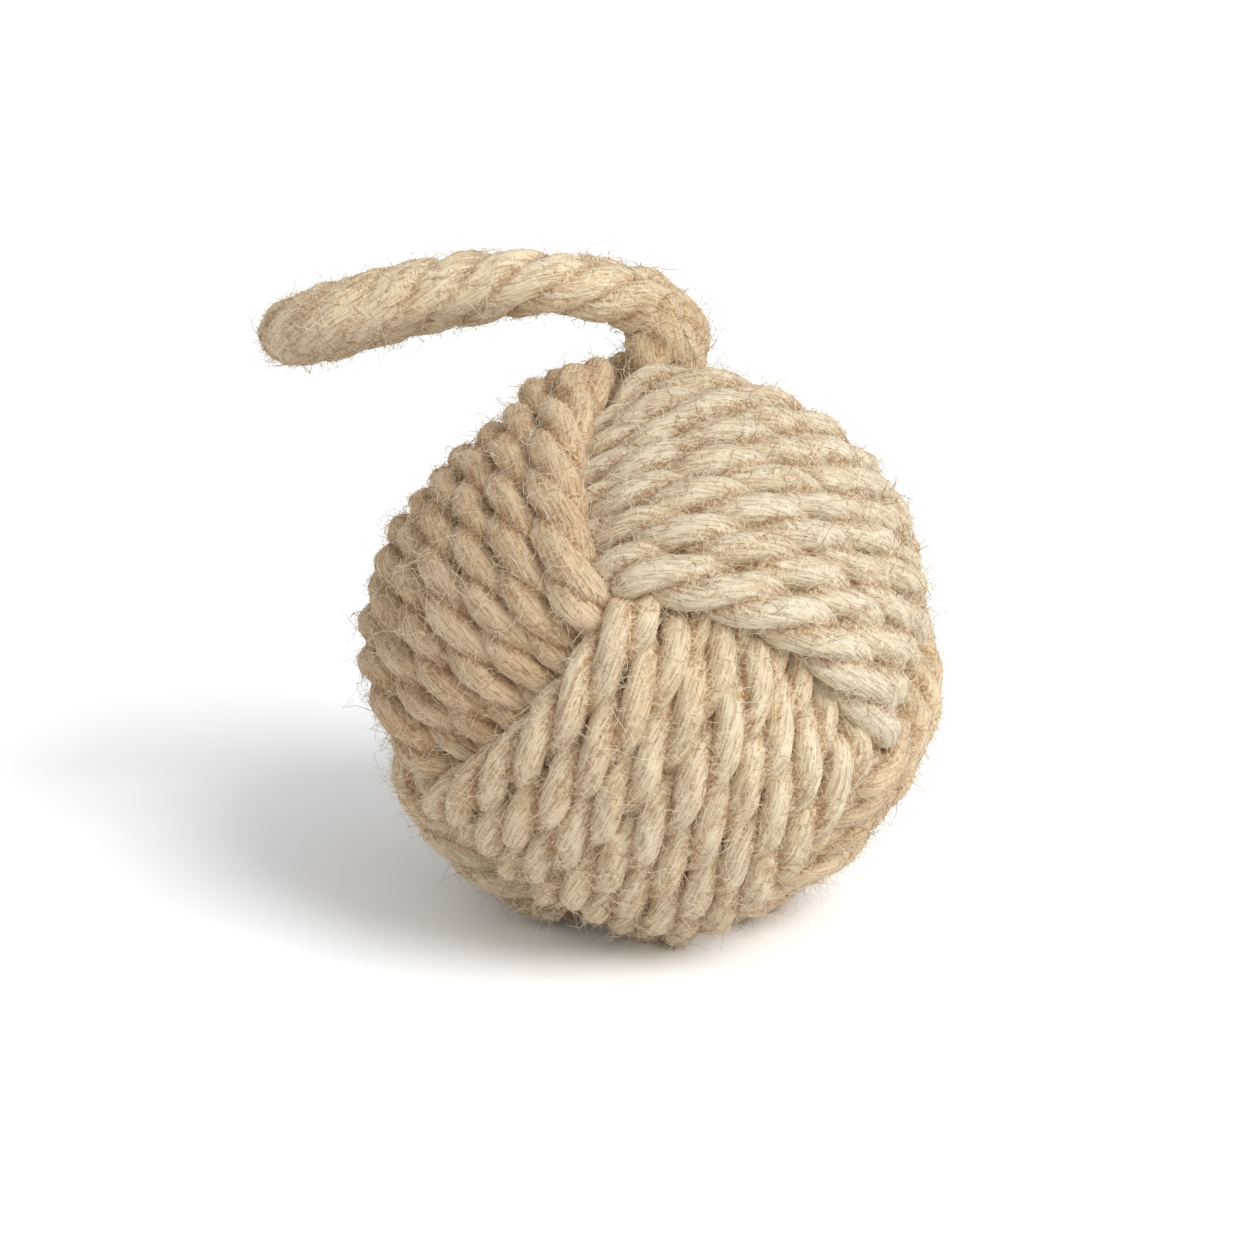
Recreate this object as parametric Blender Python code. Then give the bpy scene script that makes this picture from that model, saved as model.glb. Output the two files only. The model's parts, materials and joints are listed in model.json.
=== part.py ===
"""Rope knot doorstop: a ball of rope wound over a sand bag, with a rope loop for a handle.

The ball is a fist knot. Rope is laid round a small bag of sand in three sets of turns, each
set square to the other two, and each set passes over one neighbour and under the other. The
rope leaves the knot at one of its eight corners, makes the handle and comes back to the same
corner, where its end is tucked in. The handle swings where it leaves the knot.

Lengths are in metres and angles in degrees. Z is up, and the floor is at Z = 0. The origin is
on the flat that the ball stands on.
"""
import math

import bmesh
import bpy
import numpy as np
from mathutils import Euler, Matrix, Vector

# Rope in the knot
CORD_DIAMETER = 0.0094          # rope in the outer turns
BURIED_DIAMETER = 0.0077        # the same rope, drawn thinner where other turns press on it
CORD_GAP = 0.0006               # space between two turns
POINTS_PER_TURN = 24
SET_SPREAD = 73.0               # angle that one set of turns covers from edge to edge
INNER_SPREAD = 85.0             # the same, where the set passes under another
DIVE_START = 37.0               # angle along a turn, from its outermost point, where it dives
DIVE_END = 60.0                 # and where it is fully under its neighbours
LAYER_STEP = 0.0120             # from the middle of the buried turns to that of the outer ones
JOIN_GAP = 0.0003               # gap between two pieces that meet face to face
SEAT_DEPTH = 0.0040             # how far the ball is pressed flat by its own weight

# Drawing the winding snug
SNUG_ROUNDS = 400
LAST_ROUNDS = 140
PULL = 0.06                     # share of a bend that one round pulls straight
FIRMNESS = 0.02                 # share of a kink that one round smooths
LAST_FIRMNESS = 0.002           # the same, in the last rounds
PUSH = 1.2                      # share of an overlap that one push takes away
SNUG_PUSHES = 2                 # pushes in each round
LAST_PUSHES = 5                 # and in each of the last rounds
DRAW_IN = 0.3                   # share of a bulge that one push draws back into the ball
NEAR_PITCHES = 2.8              # runs farther apart than this don't meet before the next look
LOOK_EVERY = 12                 # rounds between two looks at which runs are near

# Sand bag
BAG_DIAMETER = 0.0818
BAG_WALL = 0.0009
BAG_CLEARANCE = 0.0014          # between the bag and the turns round it
NECK_BORE = 0.0090
NECK_HEIGHT = 0.0036
TWINE_DIAMETER = 0.0016
FIT_GAP = 0.0003
BAG_STEPS = 28                  # faces round the bag, the sand and the tie
BAG_ARC_STEPS = 14              # and from the bottom of the bag to its neck
TWINE_STEPS = 8

# Handle
LEG_DIAMETER = 0.0124           # rope outside the knot
LEG_PITCH = 0.0155              # centre to centre of the two legs where they leave the knot
LOOP_PITCH = 0.0320             # centre to centre of the two legs along the loop
LOOP_REACH = 0.0807             # hinge to the middle of the rope at the loop's tip
LOOP_TIP_RISE = 0.0013          # the tip's height above the hinge, measured up the ball
LOOP_CROWN = 0.0165             # height above the hinge that the loop is drawn towards
LEG_LEAN = 0.0055               # how far the legs lean over while they rise to that height
CROWN_REACH = 0.0380            # how far out the loop is still drawn towards that height
HINGE_OUT = 0.0036              # the hinge's height above the outside of the ball
HINGE_CLOCK = 87.0              # where the hinge is on the ball, from its right side
STUB_LENGTH = 0.0030            # straight rope under the near leg, before it bends into the knot
ROOT_LENGTH = 0.0080            # straight rope under the far leg, to its end
BASE_TWIST = 20.0               # twist of the loop where it leaves the knot
TIP_TWIST = -2.0                # twist of the loop at its tip
TWIST_FADE = 3.0                # how early along the loop the first twist fades to the last
LEG_STEPS = 16
TIP_STEPS = 10
END_STEPS = 4                   # rings on the round end at each side of the hinge
END_ANGLE = 84.0                # where the last of those rings lies, from the end's widest
CURVE_SAMPLES = 200

# How the knot lies
LEAN = 20.0                     # the handle's plane leans back by this angle
KNOT_TURN = (25.8, -32.1, 41.5)  # the knot's turn about X, Y and Z, in the leaning frame

CORD_RADIUS = CORD_DIAMETER / 2
BURIED_RADIUS = BURIED_DIAMETER / 2
LEG_RADIUS = LEG_DIAMETER / 2
BAG_RADIUS = BAG_DIAMETER / 2
INNER_RADIUS = BAG_RADIUS + BAG_CLEARANCE + BURIED_RADIUS
OUTER_RADIUS = INNER_RADIUS + LAYER_STEP
BALL_RADIUS = OUTER_RADIUS + CORD_RADIUS
CORD_PITCH = CORD_DIAMETER + CORD_GAP
NEAR = NEAR_PITCHES * CORD_PITCH
TURNS = int(math.radians(SET_SPREAD) * OUTER_RADIUS / CORD_PITCH)
FOOT_DEPTH = CORD_DIAMETER / 10  # depth of the flat cut on each turn that meets the floor
TOUCH_DEPTH = FOOT_DEPTH / 4    # turns within this of the lowest one touch the floor
FOOT_SHARES = 9                 # spots that are tried along each run of the rope

# The leaning frame: X to the right, Y up the ball and Z to the front, leaning back by LEAN
LEANING = Euler((math.radians(90.0 - LEAN), 0.0, 0.0)).to_matrix()
KNOT = LEANING @ Euler([math.radians(angle) for angle in KNOT_TURN]).to_matrix()
KNOT_AXES = [np.array(KNOT.col[index]) for index in range(3)]


def smooth(value):
    """Zero up to 0 and one from 1, with a soft rise between."""
    value = min(max(value, 0.0), 1.0)
    return value * value * (3.0 - 2.0 * value)


def lay_set(axis, outer, inner, start, way, travel, first_lane, shift_at, side):
    """Points along one set of turns, and how deep each lies, from 0 outside to 1 buried.

    The turns go round the axis. They pass outside at the ends of the outer direction and
    under their neighbours at the ends of the inner direction. Each turn moves over by one
    lane in the quarter that begins at shift_at.
    """
    steps = round(travel / 360.0 * POINTS_PER_TURN)
    points = []
    depths = []
    for step in range(steps + 1):
        travelled = travel * step / steps
        since_shift = (travelled - shift_at) % 360.0
        lane = first_lane + math.floor((travelled - shift_at) / 360.0) + smooth(since_shift / 90.0)
        angle = start + way * travelled
        off_pole = min(angle % 180.0, 180.0 - angle % 180.0)
        depth = smooth((off_pole - DIVE_START) / (DIVE_END - DIVE_START))
        radius = OUTER_RADIUS + (INNER_RADIUS - OUTER_RADIUS) * depth
        lane_angle = (SET_SPREAD + (INNER_SPREAD - SET_SPREAD) * depth) / TURNS
        across = side * math.radians(lane_angle * ((TURNS - 1) / 2.0 - lane))
        along = math.radians(angle)
        round_axis = math.cos(along) * outer + math.sin(along) * inner
        points.append(radius * (math.cos(across) * round_axis + math.sin(across) * axis))
        depths.append(depth)
    return points, depths


def near_runs(points, runs):
    """Pairs of straight runs that are near each other, leaving out those that touch."""
    middles = points[runs].mean(axis=1)
    pairs = []
    for place in range(len(runs) - 1):
        away = np.linalg.norm(middles[place + 1:] - middles[place], axis=1)
        found = np.nonzero(away < NEAR)[0] + place + 1
        apart = (runs[found] != runs[place, 0]) & (runs[found] != runs[place, 1])
        found = found[apart.all(axis=1)]
        pairs.append(np.column_stack([np.full(len(found), place), found]))
    pairs = np.concatenate(pairs)
    return runs[pairs[:, 0]], runs[pairs[:, 1]]


def closest(points, first, second):
    """For each pair of runs, where each is nearest to the other, and the step between."""
    start_a = points[first[:, 0]]
    run_a = points[first[:, 1]] - start_a
    start_b = points[second[:, 0]]
    run_b = points[second[:, 1]] - start_b
    between = start_a - start_b
    aa = (run_a * run_a).sum(axis=1)
    bb = (run_b * run_b).sum(axis=1)
    ab = (run_a * run_b).sum(axis=1)
    a_off = (run_a * between).sum(axis=1)
    b_off = (run_b * between).sum(axis=1)
    spread = np.maximum(aa * bb - ab * ab, 1e-6 * aa * bb)
    along_a = np.clip((ab * b_off - a_off * bb) / spread, 0.0, 1.0)
    along_b = np.clip((ab * along_a + b_off) / bb, 0.0, 1.0)
    along_a = np.clip((ab * along_b - a_off) / aa, 0.0, 1.0)
    step = between + run_a * along_a[:, None] - run_b * along_b[:, None]
    return along_a, along_b, step


def room(radii, first, second, along_a, along_b):
    """The distance that each pair of runs keeps between its middles."""
    at_a = radii[first[:, 0]] * (1 - along_a) + radii[first[:, 1]] * along_a
    at_b = radii[second[:, 0]] * (1 - along_b) + radii[second[:, 1]] * along_b
    return at_a + at_b + CORD_GAP


def push_apart(points, radii, held, first, second):
    """Move runs that are too close away from each other."""
    along_a, along_b, step = closest(points, first, second)
    away = np.linalg.norm(step, axis=1)
    short = room(radii, first, second, along_a, along_b) - away
    hit = short > 0
    push = (short[hit] / 2 / np.maximum(away[hit], 1e-9))[:, None] * step[hit]
    moved = np.zeros_like(points)
    weight = np.zeros(len(points))
    ends = (
        (first[hit, 0], 1 - along_a[hit], 1.0),
        (first[hit, 1], along_a[hit], 1.0),
        (second[hit, 0], 1 - along_b[hit], -1.0),
        (second[hit, 1], along_b[hit], -1.0),
    )
    for index, share, sign in ends:
        np.add.at(moved, index, sign * push * share[:, None])
        np.add.at(weight, index, share)
    moved = PUSH * moved / np.maximum(weight, 1.0)[:, None]
    moved[held] = 0.0
    return points + moved


def keep_in_ball(points, radii, held):
    """Keep the rope outside the bag, above the floor and near the inside of the ball."""
    distance = np.linalg.norm(points, axis=1)
    low = BAG_RADIUS + BAG_CLEARANCE + radii
    high = BALL_RADIUS - radii
    scale = np.where(distance < low, low / distance, 1.0)
    scale = np.where(distance > high, 1.0 + DRAW_IN * (high / distance - 1.0), scale)
    scale[held] = 1.0
    points = points * scale[:, None]
    floor = radii - BALL_RADIUS + SEAT_DEPTH
    points[:, 2] = np.where(held, points[:, 2], np.maximum(points[:, 2], floor))
    return points


def bends(points, inside):
    """How far each point inside the rope is from the middle of its neighbours, doubled."""
    bend = np.zeros_like(points)
    bend[inside] = points[inside.start - 1:inside.stop - 1] - 2 * points[inside]
    bend[inside] += points[inside.start + 1:inside.stop + 1]
    return bend


def draw_snug(points, radii, held, runs, joins, rope_points):
    """Pull the winding tight over the bag, with every turn clear of every other.

    The held points stay where they are.
    """
    inside = slice(1, rope_points - 1)
    for rounds, pull, firmness, pushes in (
        (SNUG_ROUNDS, PULL, FIRMNESS, SNUG_PUSHES),
        (LAST_ROUNDS, 0.0, LAST_FIRMNESS, LAST_PUSHES),
    ):
        for index in range(rounds):
            if index % LOOK_EVERY == 0:
                first, second = near_runs(points, runs)
            change = pull * (1 - index / rounds) * bends(points, inside)
            change -= firmness * bends(bends(points, inside), inside)
            change[held] = 0.0
            points = points + change
            for _ in range(pushes):
                points = push_apart(points, radii, held, first, second)
                points = keep_in_ball(points, radii, held)
                for join in joins:
                    points[join] = (points[join - 1] + points[join + 1]) / 2
    return points


def least_gap(points, radii):
    """The least gap between the surfaces of any two runs of the rope that don't touch."""
    runs = rope_runs(len(points))
    first, second = near_runs(points, runs)
    along_a, along_b, step = closest(points, first, second)
    away = np.linalg.norm(step, axis=1)
    return (away - room(radii, first, second, along_a, along_b)).min() + CORD_GAP


def rope_runs(count):
    """The straight runs between neighbouring points of one rope."""
    places = np.arange(count - 1)
    return np.column_stack([places, places + 1])


def loop_middle():
    """Evenly spaced points along the middle of the handle, and its direction at each."""
    clock = math.radians(HINGE_CLOCK)
    base = Vector((math.cos(clock), math.sin(clock))) * (BALL_RADIUS + HINGE_OUT)
    pulls = [base + Vector(pull) for pull in (
        (0.0, 0.0),
        (-LEG_LEAN, LOOP_CROWN),
        (-CROWN_REACH, LOOP_CROWN),
        (-LOOP_REACH, LOOP_TIP_RISE),
    )]
    fine = np.linspace(0.0, 1.0, CURVE_SAMPLES)[:, None]
    curve = sum(
        np.array(pull) * weight * fine ** power * (1 - fine) ** (3 - power)
        for power, (pull, weight) in enumerate(zip(pulls, (1, 3, 3, 1)))
    )
    lengths = np.concatenate([[0.0], np.cumsum(np.linalg.norm(np.diff(curve, axis=0), axis=1))])
    wanted = np.linspace(0.0, lengths[-1] - LOOP_PITCH / 2, LEG_STEPS + 1)
    slopes = np.gradient(curve, lengths, axis=0)
    middles = [np.interp(wanted, lengths, curve[:, side]) for side in (0, 1)]
    along = [np.interp(wanted, lengths, slopes[:, side]) for side in (0, 1)]
    middles = [Vector((x, y, 0.0)) for x, y in zip(*middles)]
    along = [Vector((x, y, 0.0)).normalized() for x, y in zip(*along)]
    return middles, along


def loop_stations():
    """Middle, direction and half step across to the near leg, at each step of the handle."""
    stations = []
    for step, (middle, along) in enumerate(zip(*loop_middle())):
        share = step / LEG_STEPS
        fade = (1.0 - share) ** TWIST_FADE
        twist = math.radians(TIP_TWIST + (BASE_TWIST - TIP_TWIST) * fade)
        pitch = LEG_PITCH + (LOOP_PITCH - LEG_PITCH) * smooth(2 * share)
        across = Vector((-along.y * math.sin(twist), along.x * math.sin(twist), math.cos(twist)))
        stations.append((middle, along, across * (pitch / 2)))
    return stations


def hinge_points():
    """Middles of the near leg and the far leg at the hinge, from the middle of the ball."""
    middle, _, across = loop_stations()[0]
    return LEANING @ (middle + across), LEANING @ (middle - across)


def root_points(hinge, length):
    """Top and bottom of the straight rope under a leg, which heads for the middle."""
    inward = -hinge.normalized()
    top = hinge + inward * (LEG_RADIUS + JOIN_GAP)
    return np.array(top), np.array(top + inward * length)


def wind_knot():
    """Points and radii of the rope in the knot, and the first point of each set.

    The far root and the round ends of the legs are runs of their own. They stay where they
    are, and the turns make way for them.
    """
    one, two, three = KNOT_AXES
    full = 360.0 * TURNS
    sets = (
        lay_set(one, two, three, -45.0, -1, full, -1, 0.0, 1),
        lay_set(two, three, one, -135.0, -1, full, 0, 270.0, 1),
        lay_set(three, one, two, -135.0, 1, full, -1, 0.0, -1),
    )
    near, far = hinge_points()
    top, bottom = root_points(near, STUB_LENGTH)
    points = [top, bottom]
    depths = [0.0, 1.0]
    starts = [0]
    for place, (run, deep) in enumerate(sets):
        if place:
            starts.append(len(points))
        skipped = 1 if place == 0 else 0
        points += run[skipped:-1] if place < 2 else run
        depths += deep[skipped:-1] if place < 2 else deep
    radii = CORD_RADIUS + (BURIED_RADIUS - CORD_RADIUS) * np.clip(2 * np.array(depths), 0, 1)
    rope_points = len(points)
    points += root_points(far, ROOT_LENGTH)
    for hinge in (far, near):
        points += [np.array(hinge), np.array(hinge + hinge.normalized() * JOIN_GAP)]
    radii = np.concatenate([radii, [CORD_RADIUS] * 2, [LEG_RADIUS] * 4])
    posts = [rope_runs(2) + first for first in range(rope_points, len(points), 2)]
    runs = np.concatenate([rope_runs(rope_points), *posts])
    held = np.arange(len(points)) >= rope_points
    held[:2] = True
    points = draw_snug(np.array(points), radii, held, runs, starts[1:], rope_points)
    return points[:rope_points], radii[:rope_points], starts


def foot_point(points, radii):
    """The spot under the rope that meets the floor and is nearest the middle of the ball."""
    shares = np.linspace(0.0, 1.0, FOOT_SHARES)[:, None, None]
    spots = (points[:-1] * (1 - shares) + points[1:] * shares).reshape(-1, 3)
    spots[:, 2] -= (radii[:-1] * (1 - shares[..., 0]) + radii[1:] * shares[..., 0]).ravel()
    touching = spots[spots[:, 2] < spots[:, 2].min() + TOUCH_DEPTH]
    return Vector(touching[np.argmin(np.hypot(touching[:, 0], touching[:, 1]))])


def leg_end(middle, along):
    """Points and radii of the round end of a leg, from its tip to the hinge."""
    angles = [math.pi / 2 * (1 - step / END_STEPS) for step in range(END_STEPS)]
    angles[0] = math.radians(END_ANGLE)
    points = [middle - along * LEG_RADIUS * math.sin(angle) for angle in angles]
    return points, [LEG_RADIUS * math.cos(angle) for angle in angles]


def handle_path():
    """Points and radii of the rope in the handle, with a round end at each side of the hinge."""
    stations = loop_stations()
    middle, along, across = stations[0]
    points, radii = leg_end(middle + across, along)
    far_points, far_radii = leg_end(middle - across, along)
    for middle, along, across in stations:
        points.append(middle + across)
        radii.append(LEG_RADIUS)
    for step in range(1, TIP_STEPS):
        angle = math.pi * step / TIP_STEPS
        forward = along * across.length * math.sin(angle)
        points.append(middle + across * math.cos(angle) + forward)
        radii.append(LEG_RADIUS)
    for middle, along, across in reversed(stations):
        points.append(middle - across)
        radii.append(LEG_RADIUS)
    points += far_points[::-1]
    radii += far_radii[::-1]
    return [LEANING @ point for point in points], radii


def material(name, colour, roughness):
    """A plain surface colour for one piece."""
    made = bpy.data.materials.new(name)
    made.use_nodes = True
    surface = made.node_tree.nodes["Principled BSDF"]
    surface.inputs["Base Color"].default_value = (*colour, 1.0)
    surface.inputs["Roughness"].default_value = roughness
    return made


def add_object(name, mesh, place, finish, smooth_angle=50.0):
    """Link a mesh as a named object whose origin is at place."""
    made = bpy.data.objects.new(name, mesh)
    bpy.context.scene.collection.objects.link(made)
    mesh.transform(Matrix.Translation(-place))
    made.location = place
    mesh.materials.clear()
    mesh.materials.append(finish)
    mesh.shade_smooth()
    mesh.set_sharp_from_angle(angle=math.radians(smooth_angle))
    return made


def tube_mesh(name, points, radii, resolution):
    """A closed tube along straight runs between the points."""
    curve = bpy.data.curves.new(name, "CURVE")
    curve.dimensions = "3D"
    curve.bevel_depth = max(radii)
    curve.bevel_resolution = resolution
    curve.use_fill_caps = True
    spline = curve.splines.new("POLY")
    spline.points.add(len(points) - 1)
    for spot, point, radius in zip(spline.points, points, radii):
        spot.co = (*point, 1.0)
        spot.radius = radius / curve.bevel_depth
    route = bpy.data.objects.new(name + "_route", curve)
    bpy.context.scene.collection.objects.link(route)
    bpy.context.view_layer.update()
    mesh = bpy.data.meshes.new_from_object(route.evaluated_get(bpy.context.evaluated_depsgraph_get()))
    bpy.data.objects.remove(route)
    bpy.data.curves.remove(curve)
    outward = bmesh.new()
    outward.from_mesh(mesh)
    bmesh.ops.remove_doubles(outward, verts=outward.verts, dist=1e-7)
    bmesh.ops.recalc_face_normals(outward, faces=outward.faces)
    outward.to_mesh(mesh)
    outward.free()
    mesh.name = name
    return mesh


def turned_mesh(name, profile, closed):
    """A solid turned about Z from (radius, height) points, run up its outer side first."""
    solid = bmesh.new()
    rings = []
    for radius, height in profile:
        if radius < 1e-6:
            rings.append([solid.verts.new((0.0, 0.0, height))])
            continue
        ring = []
        for step in range(BAG_STEPS):
            angle = math.tau * step / BAG_STEPS
            ring.append(solid.verts.new((radius * math.cos(angle), radius * math.sin(angle), height)))
        rings.append(ring)
    pairs = list(zip(rings, rings[1:]))
    if closed:
        pairs.append((rings[-1], rings[0]))
    for low, high in pairs:
        for step in range(BAG_STEPS):
            after = (step + 1) % BAG_STEPS
            corners = [low[step % len(low)], low[after % len(low)]]
            corners += [high[after % len(high)], high[step % len(high)]]
            solid.faces.new(list(dict.fromkeys(corners)))
    bmesh.ops.recalc_face_normals(solid, faces=solid.faces)
    mesh = bpy.data.meshes.new(name)
    solid.to_mesh(mesh)
    solid.free()
    return mesh


def arc(radius, start, end, steps):
    """Points of a round profile about the ball's middle, from one angle to another."""
    return [
        (radius * math.cos(angle), radius * math.sin(angle))
        for angle in (start + (end - start) * step / steps for step in range(steps + 1))
    ]


def add_core(middle):
    """The sand, the calico bag that holds it and the twine round the bag's neck."""
    neck_inside = NECK_BORE / 2
    neck_outside = neck_inside + BAG_WALL
    neck_top = math.sqrt(BAG_RADIUS ** 2 - neck_outside ** 2)
    shoulder = neck_top - NECK_HEIGHT
    inside = BAG_RADIUS - BAG_WALL
    under = shoulder - BAG_WALL
    outer_side = arc(BAG_RADIUS, -math.pi / 2, math.asin(shoulder / BAG_RADIUS), BAG_ARC_STEPS)
    inner_side = arc(inside, math.asin(under / inside), -math.pi / 2, BAG_ARC_STEPS)
    neck = [
        (neck_outside, shoulder),
        (neck_outside, neck_top),
        (neck_inside, neck_top),
        (neck_inside, under),
    ]
    bag = turned_mesh("sand_bag", outer_side + neck + inner_side, False)
    add_object("sand_bag", bag, Vector(), material("calico", (0.72, 0.66, 0.52), 0.9)).location = middle

    sand_radius = inside - FIT_GAP
    sand_top = under - FIT_GAP
    side = arc(sand_radius, -math.pi / 2, math.asin(sand_top / sand_radius), BAG_ARC_STEPS)
    sand = turned_mesh("sand_fill", side + [(0.0, sand_top)], False)
    add_object("sand_fill", sand, Vector(), material("sand", (0.56, 0.45, 0.30), 1.0)).location = middle

    twine_radius = TWINE_DIAMETER / 2
    ring_radius = neck_outside + FIT_GAP + twine_radius
    ring_height = shoulder + FIT_GAP + twine_radius
    section = arc(twine_radius, 0.0, math.tau, TWINE_STEPS)[:-1]
    ring = [(ring_radius + x, ring_height + z) for x, z in section]
    twine = turned_mesh("bag_tie", ring, True)
    add_object("bag_tie", twine, Vector(), material("twine", (0.50, 0.38, 0.22), 0.9)).location = middle


def add_knot(points, radii, starts, middle, jute):
    """The three sets of turns, cut flat where they stand on the floor."""
    bpy.ops.mesh.primitive_cube_add(size=4 * BALL_RADIUS, location=(0.0, 0.0, -2 * BALL_RADIUS))
    floor = bpy.context.object
    floor.name = "floor_cutter"
    floor.hide_render = True
    floor.display_type = "WIRE"
    ends = starts[1:] + [len(points) - 1]
    for name, first, last in zip(("first_turns", "second_turns", "third_turns"), starts, ends):
        run = [Vector(point) + middle for point in points[first:last + 1]]
        if first > 0:
            run[0] += (run[1] - run[0]).normalized() * (JOIN_GAP / 2)
        if last < len(points) - 1:
            run[-1] += (run[-2] - run[-1]).normalized() * (JOIN_GAP / 2)
        tube = add_object(name, tube_mesh(name, run, radii[first:last + 1], 1), middle, jute)
        if min(corner.co.z for corner in tube.data.vertices) + middle.z < 0.0:
            cut = tube.modifiers.new("foot", "BOOLEAN")
            cut.operation = "DIFFERENCE"
            cut.object = floor
            cut.solver = "EXACT"


def add_handle(middle, jute):
    """The rope loop, with its origin on the hinge, and its end tucked into the knot."""
    near, far = hinge_points()
    points, radii = handle_path()
    points = [point + middle for point in points]
    hinge = (near + far) / 2 + middle
    add_object("handle_loop", tube_mesh("handle_loop", points, radii, 2), hinge, jute)
    top, bottom = root_points(far, ROOT_LENGTH)
    root = [Vector(point) + middle for point in (top, (top + bottom) / 2, bottom)]
    add_object("tucked_end", tube_mesh("tucked_end", root, [CORD_RADIUS] * 3, 2), root[0], jute)
    return hinge, (far - near).normalized()


def build():
    """Build the whole doorstop and print its main sizes."""
    for old in list(bpy.data.objects):
        bpy.data.objects.remove(old)
    points, radii, starts = wind_knot()
    foot = foot_point(points, radii)
    middle = Vector((-foot.x, -foot.y, -(points[:, 2] - radii).min() - FOOT_DEPTH))
    jute = material("jute", (0.60, 0.46, 0.29), 0.85)
    add_core(middle)
    add_knot(points, radii, starts, middle, jute)
    hinge, axis = add_handle(middle, jute)
    length = np.linalg.norm(np.diff(points, axis=0), axis=1).sum()
    print("turns in each set", TURNS, "and rope in the knot, m", round(length, 2))
    print("least gap between turns, mm", round(least_gap(points, radii) * 1000, 3))
    print("middle of the ball, m", [round(value, 5) for value in middle])
    print("hinge, m", [round(value, 5) for value in hinge], "axis", [round(value, 4) for value in axis])


build()
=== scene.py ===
# %% [markdown]
# # A rope knot doorstop
#
# The object is a fist knot: one long rope wound round a small bag of sand, in three sets of
# turns that cross each other like the sides of a box. The rope starts as a loop on top, which
# is the handle. This lesson lays that rope from numbers, twists three strands along it with
# Geometry Nodes, gives it the look of dry jute and lets loose fibres stand out of it.
#
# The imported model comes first. It is the frame that every piece below has to fit.

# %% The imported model
import json
import math

import bpy
import numpy as np
from mathutils import Euler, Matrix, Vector

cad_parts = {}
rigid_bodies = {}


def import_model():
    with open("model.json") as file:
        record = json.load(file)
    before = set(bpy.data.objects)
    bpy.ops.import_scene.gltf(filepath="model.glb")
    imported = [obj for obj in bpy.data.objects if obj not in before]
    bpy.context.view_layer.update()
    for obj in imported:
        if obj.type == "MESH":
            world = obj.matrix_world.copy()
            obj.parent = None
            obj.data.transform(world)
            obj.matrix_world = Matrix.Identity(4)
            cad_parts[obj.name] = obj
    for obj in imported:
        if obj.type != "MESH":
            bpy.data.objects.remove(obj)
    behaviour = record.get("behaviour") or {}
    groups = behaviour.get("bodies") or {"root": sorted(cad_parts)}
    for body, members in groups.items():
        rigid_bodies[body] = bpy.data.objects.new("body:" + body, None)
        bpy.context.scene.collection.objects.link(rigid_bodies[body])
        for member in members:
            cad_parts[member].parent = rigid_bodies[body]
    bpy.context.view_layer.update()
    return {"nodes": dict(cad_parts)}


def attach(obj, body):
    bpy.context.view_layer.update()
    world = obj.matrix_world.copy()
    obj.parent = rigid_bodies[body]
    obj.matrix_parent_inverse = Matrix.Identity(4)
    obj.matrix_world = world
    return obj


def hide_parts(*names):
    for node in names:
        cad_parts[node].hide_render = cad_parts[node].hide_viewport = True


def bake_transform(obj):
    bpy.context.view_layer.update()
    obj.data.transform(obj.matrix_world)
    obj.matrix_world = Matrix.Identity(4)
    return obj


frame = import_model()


def add_object(name, data):
    """A new object in the scene."""
    made = bpy.data.objects.new(name, data)
    bpy.context.scene.collection.objects.link(made)
    return made


print("nodes:", ", ".join(sorted(frame["nodes"])))

# %% [markdown]
# ## The camera
#
# The picture was taken from well back, a little above the knot, with hardly any perspective.
# A camera far away with a narrow view does the same. It aims a little to the left of the
# ball and above it, because the handle leans out that way and the picture is centred on both.

# %% Camera
BALL_MIDDLE = Vector((-0.00047, 0.00377, 0.05791))
CAMERA_DISTANCE = 1.15
CAMERA_HEIGHT = 20.0            # angle above the horizon
VIEW_WIDTH = 0.2697             # what the picture takes in at the ball
BALL_OFF_CENTRE = (0.0047, -0.0047)


def rig_camera():
    """A camera in front of the ball, looking along +Y and down."""
    lean = math.radians(CAMERA_HEIGHT)
    right = Vector((1.0, 0.0, 0.0))
    up = Vector((0.0, math.sin(lean), math.cos(lean)))
    back = right.cross(up)
    aim = BALL_MIDDLE - right * BALL_OFF_CENTRE[0] - up * BALL_OFF_CENTRE[1]
    lens = bpy.data.cameras.new("camera")
    lens.sensor_fit = "HORIZONTAL"
    lens.angle = 2 * math.atan(VIEW_WIDTH / 2 / CAMERA_DISTANCE)
    lens.clip_start = 0.05
    lens.clip_end = 20.0
    camera = add_object("camera", lens)
    camera.rotation_euler = Euler((math.radians(90.0 - CAMERA_HEIGHT), 0.0, 0.0))
    camera.location = aim + back * CAMERA_DISTANCE
    bpy.context.scene.camera = camera
    return camera


camera = rig_camera()
print("camera at", [round(value, 3) for value in camera.location])

# %% [markdown]
# ## Writing node trees as sums
#
# Materials and Geometry Nodes are both trees of nodes. Linking them by hand takes many lines,
# so two small classes do it. `Value` wraps an output socket, and a sum written on it adds a
# Math node. `Graph.add` makes any other node from its type, its settings and its sockets.

# %% Node helpers


def arithmetic(operation, swapped=False):
    """A method that writes one sum as a Math node."""
    def method(self, other):
        return self.graph.math(operation, *((other, self) if swapped else (self, other)))
    return method


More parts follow.
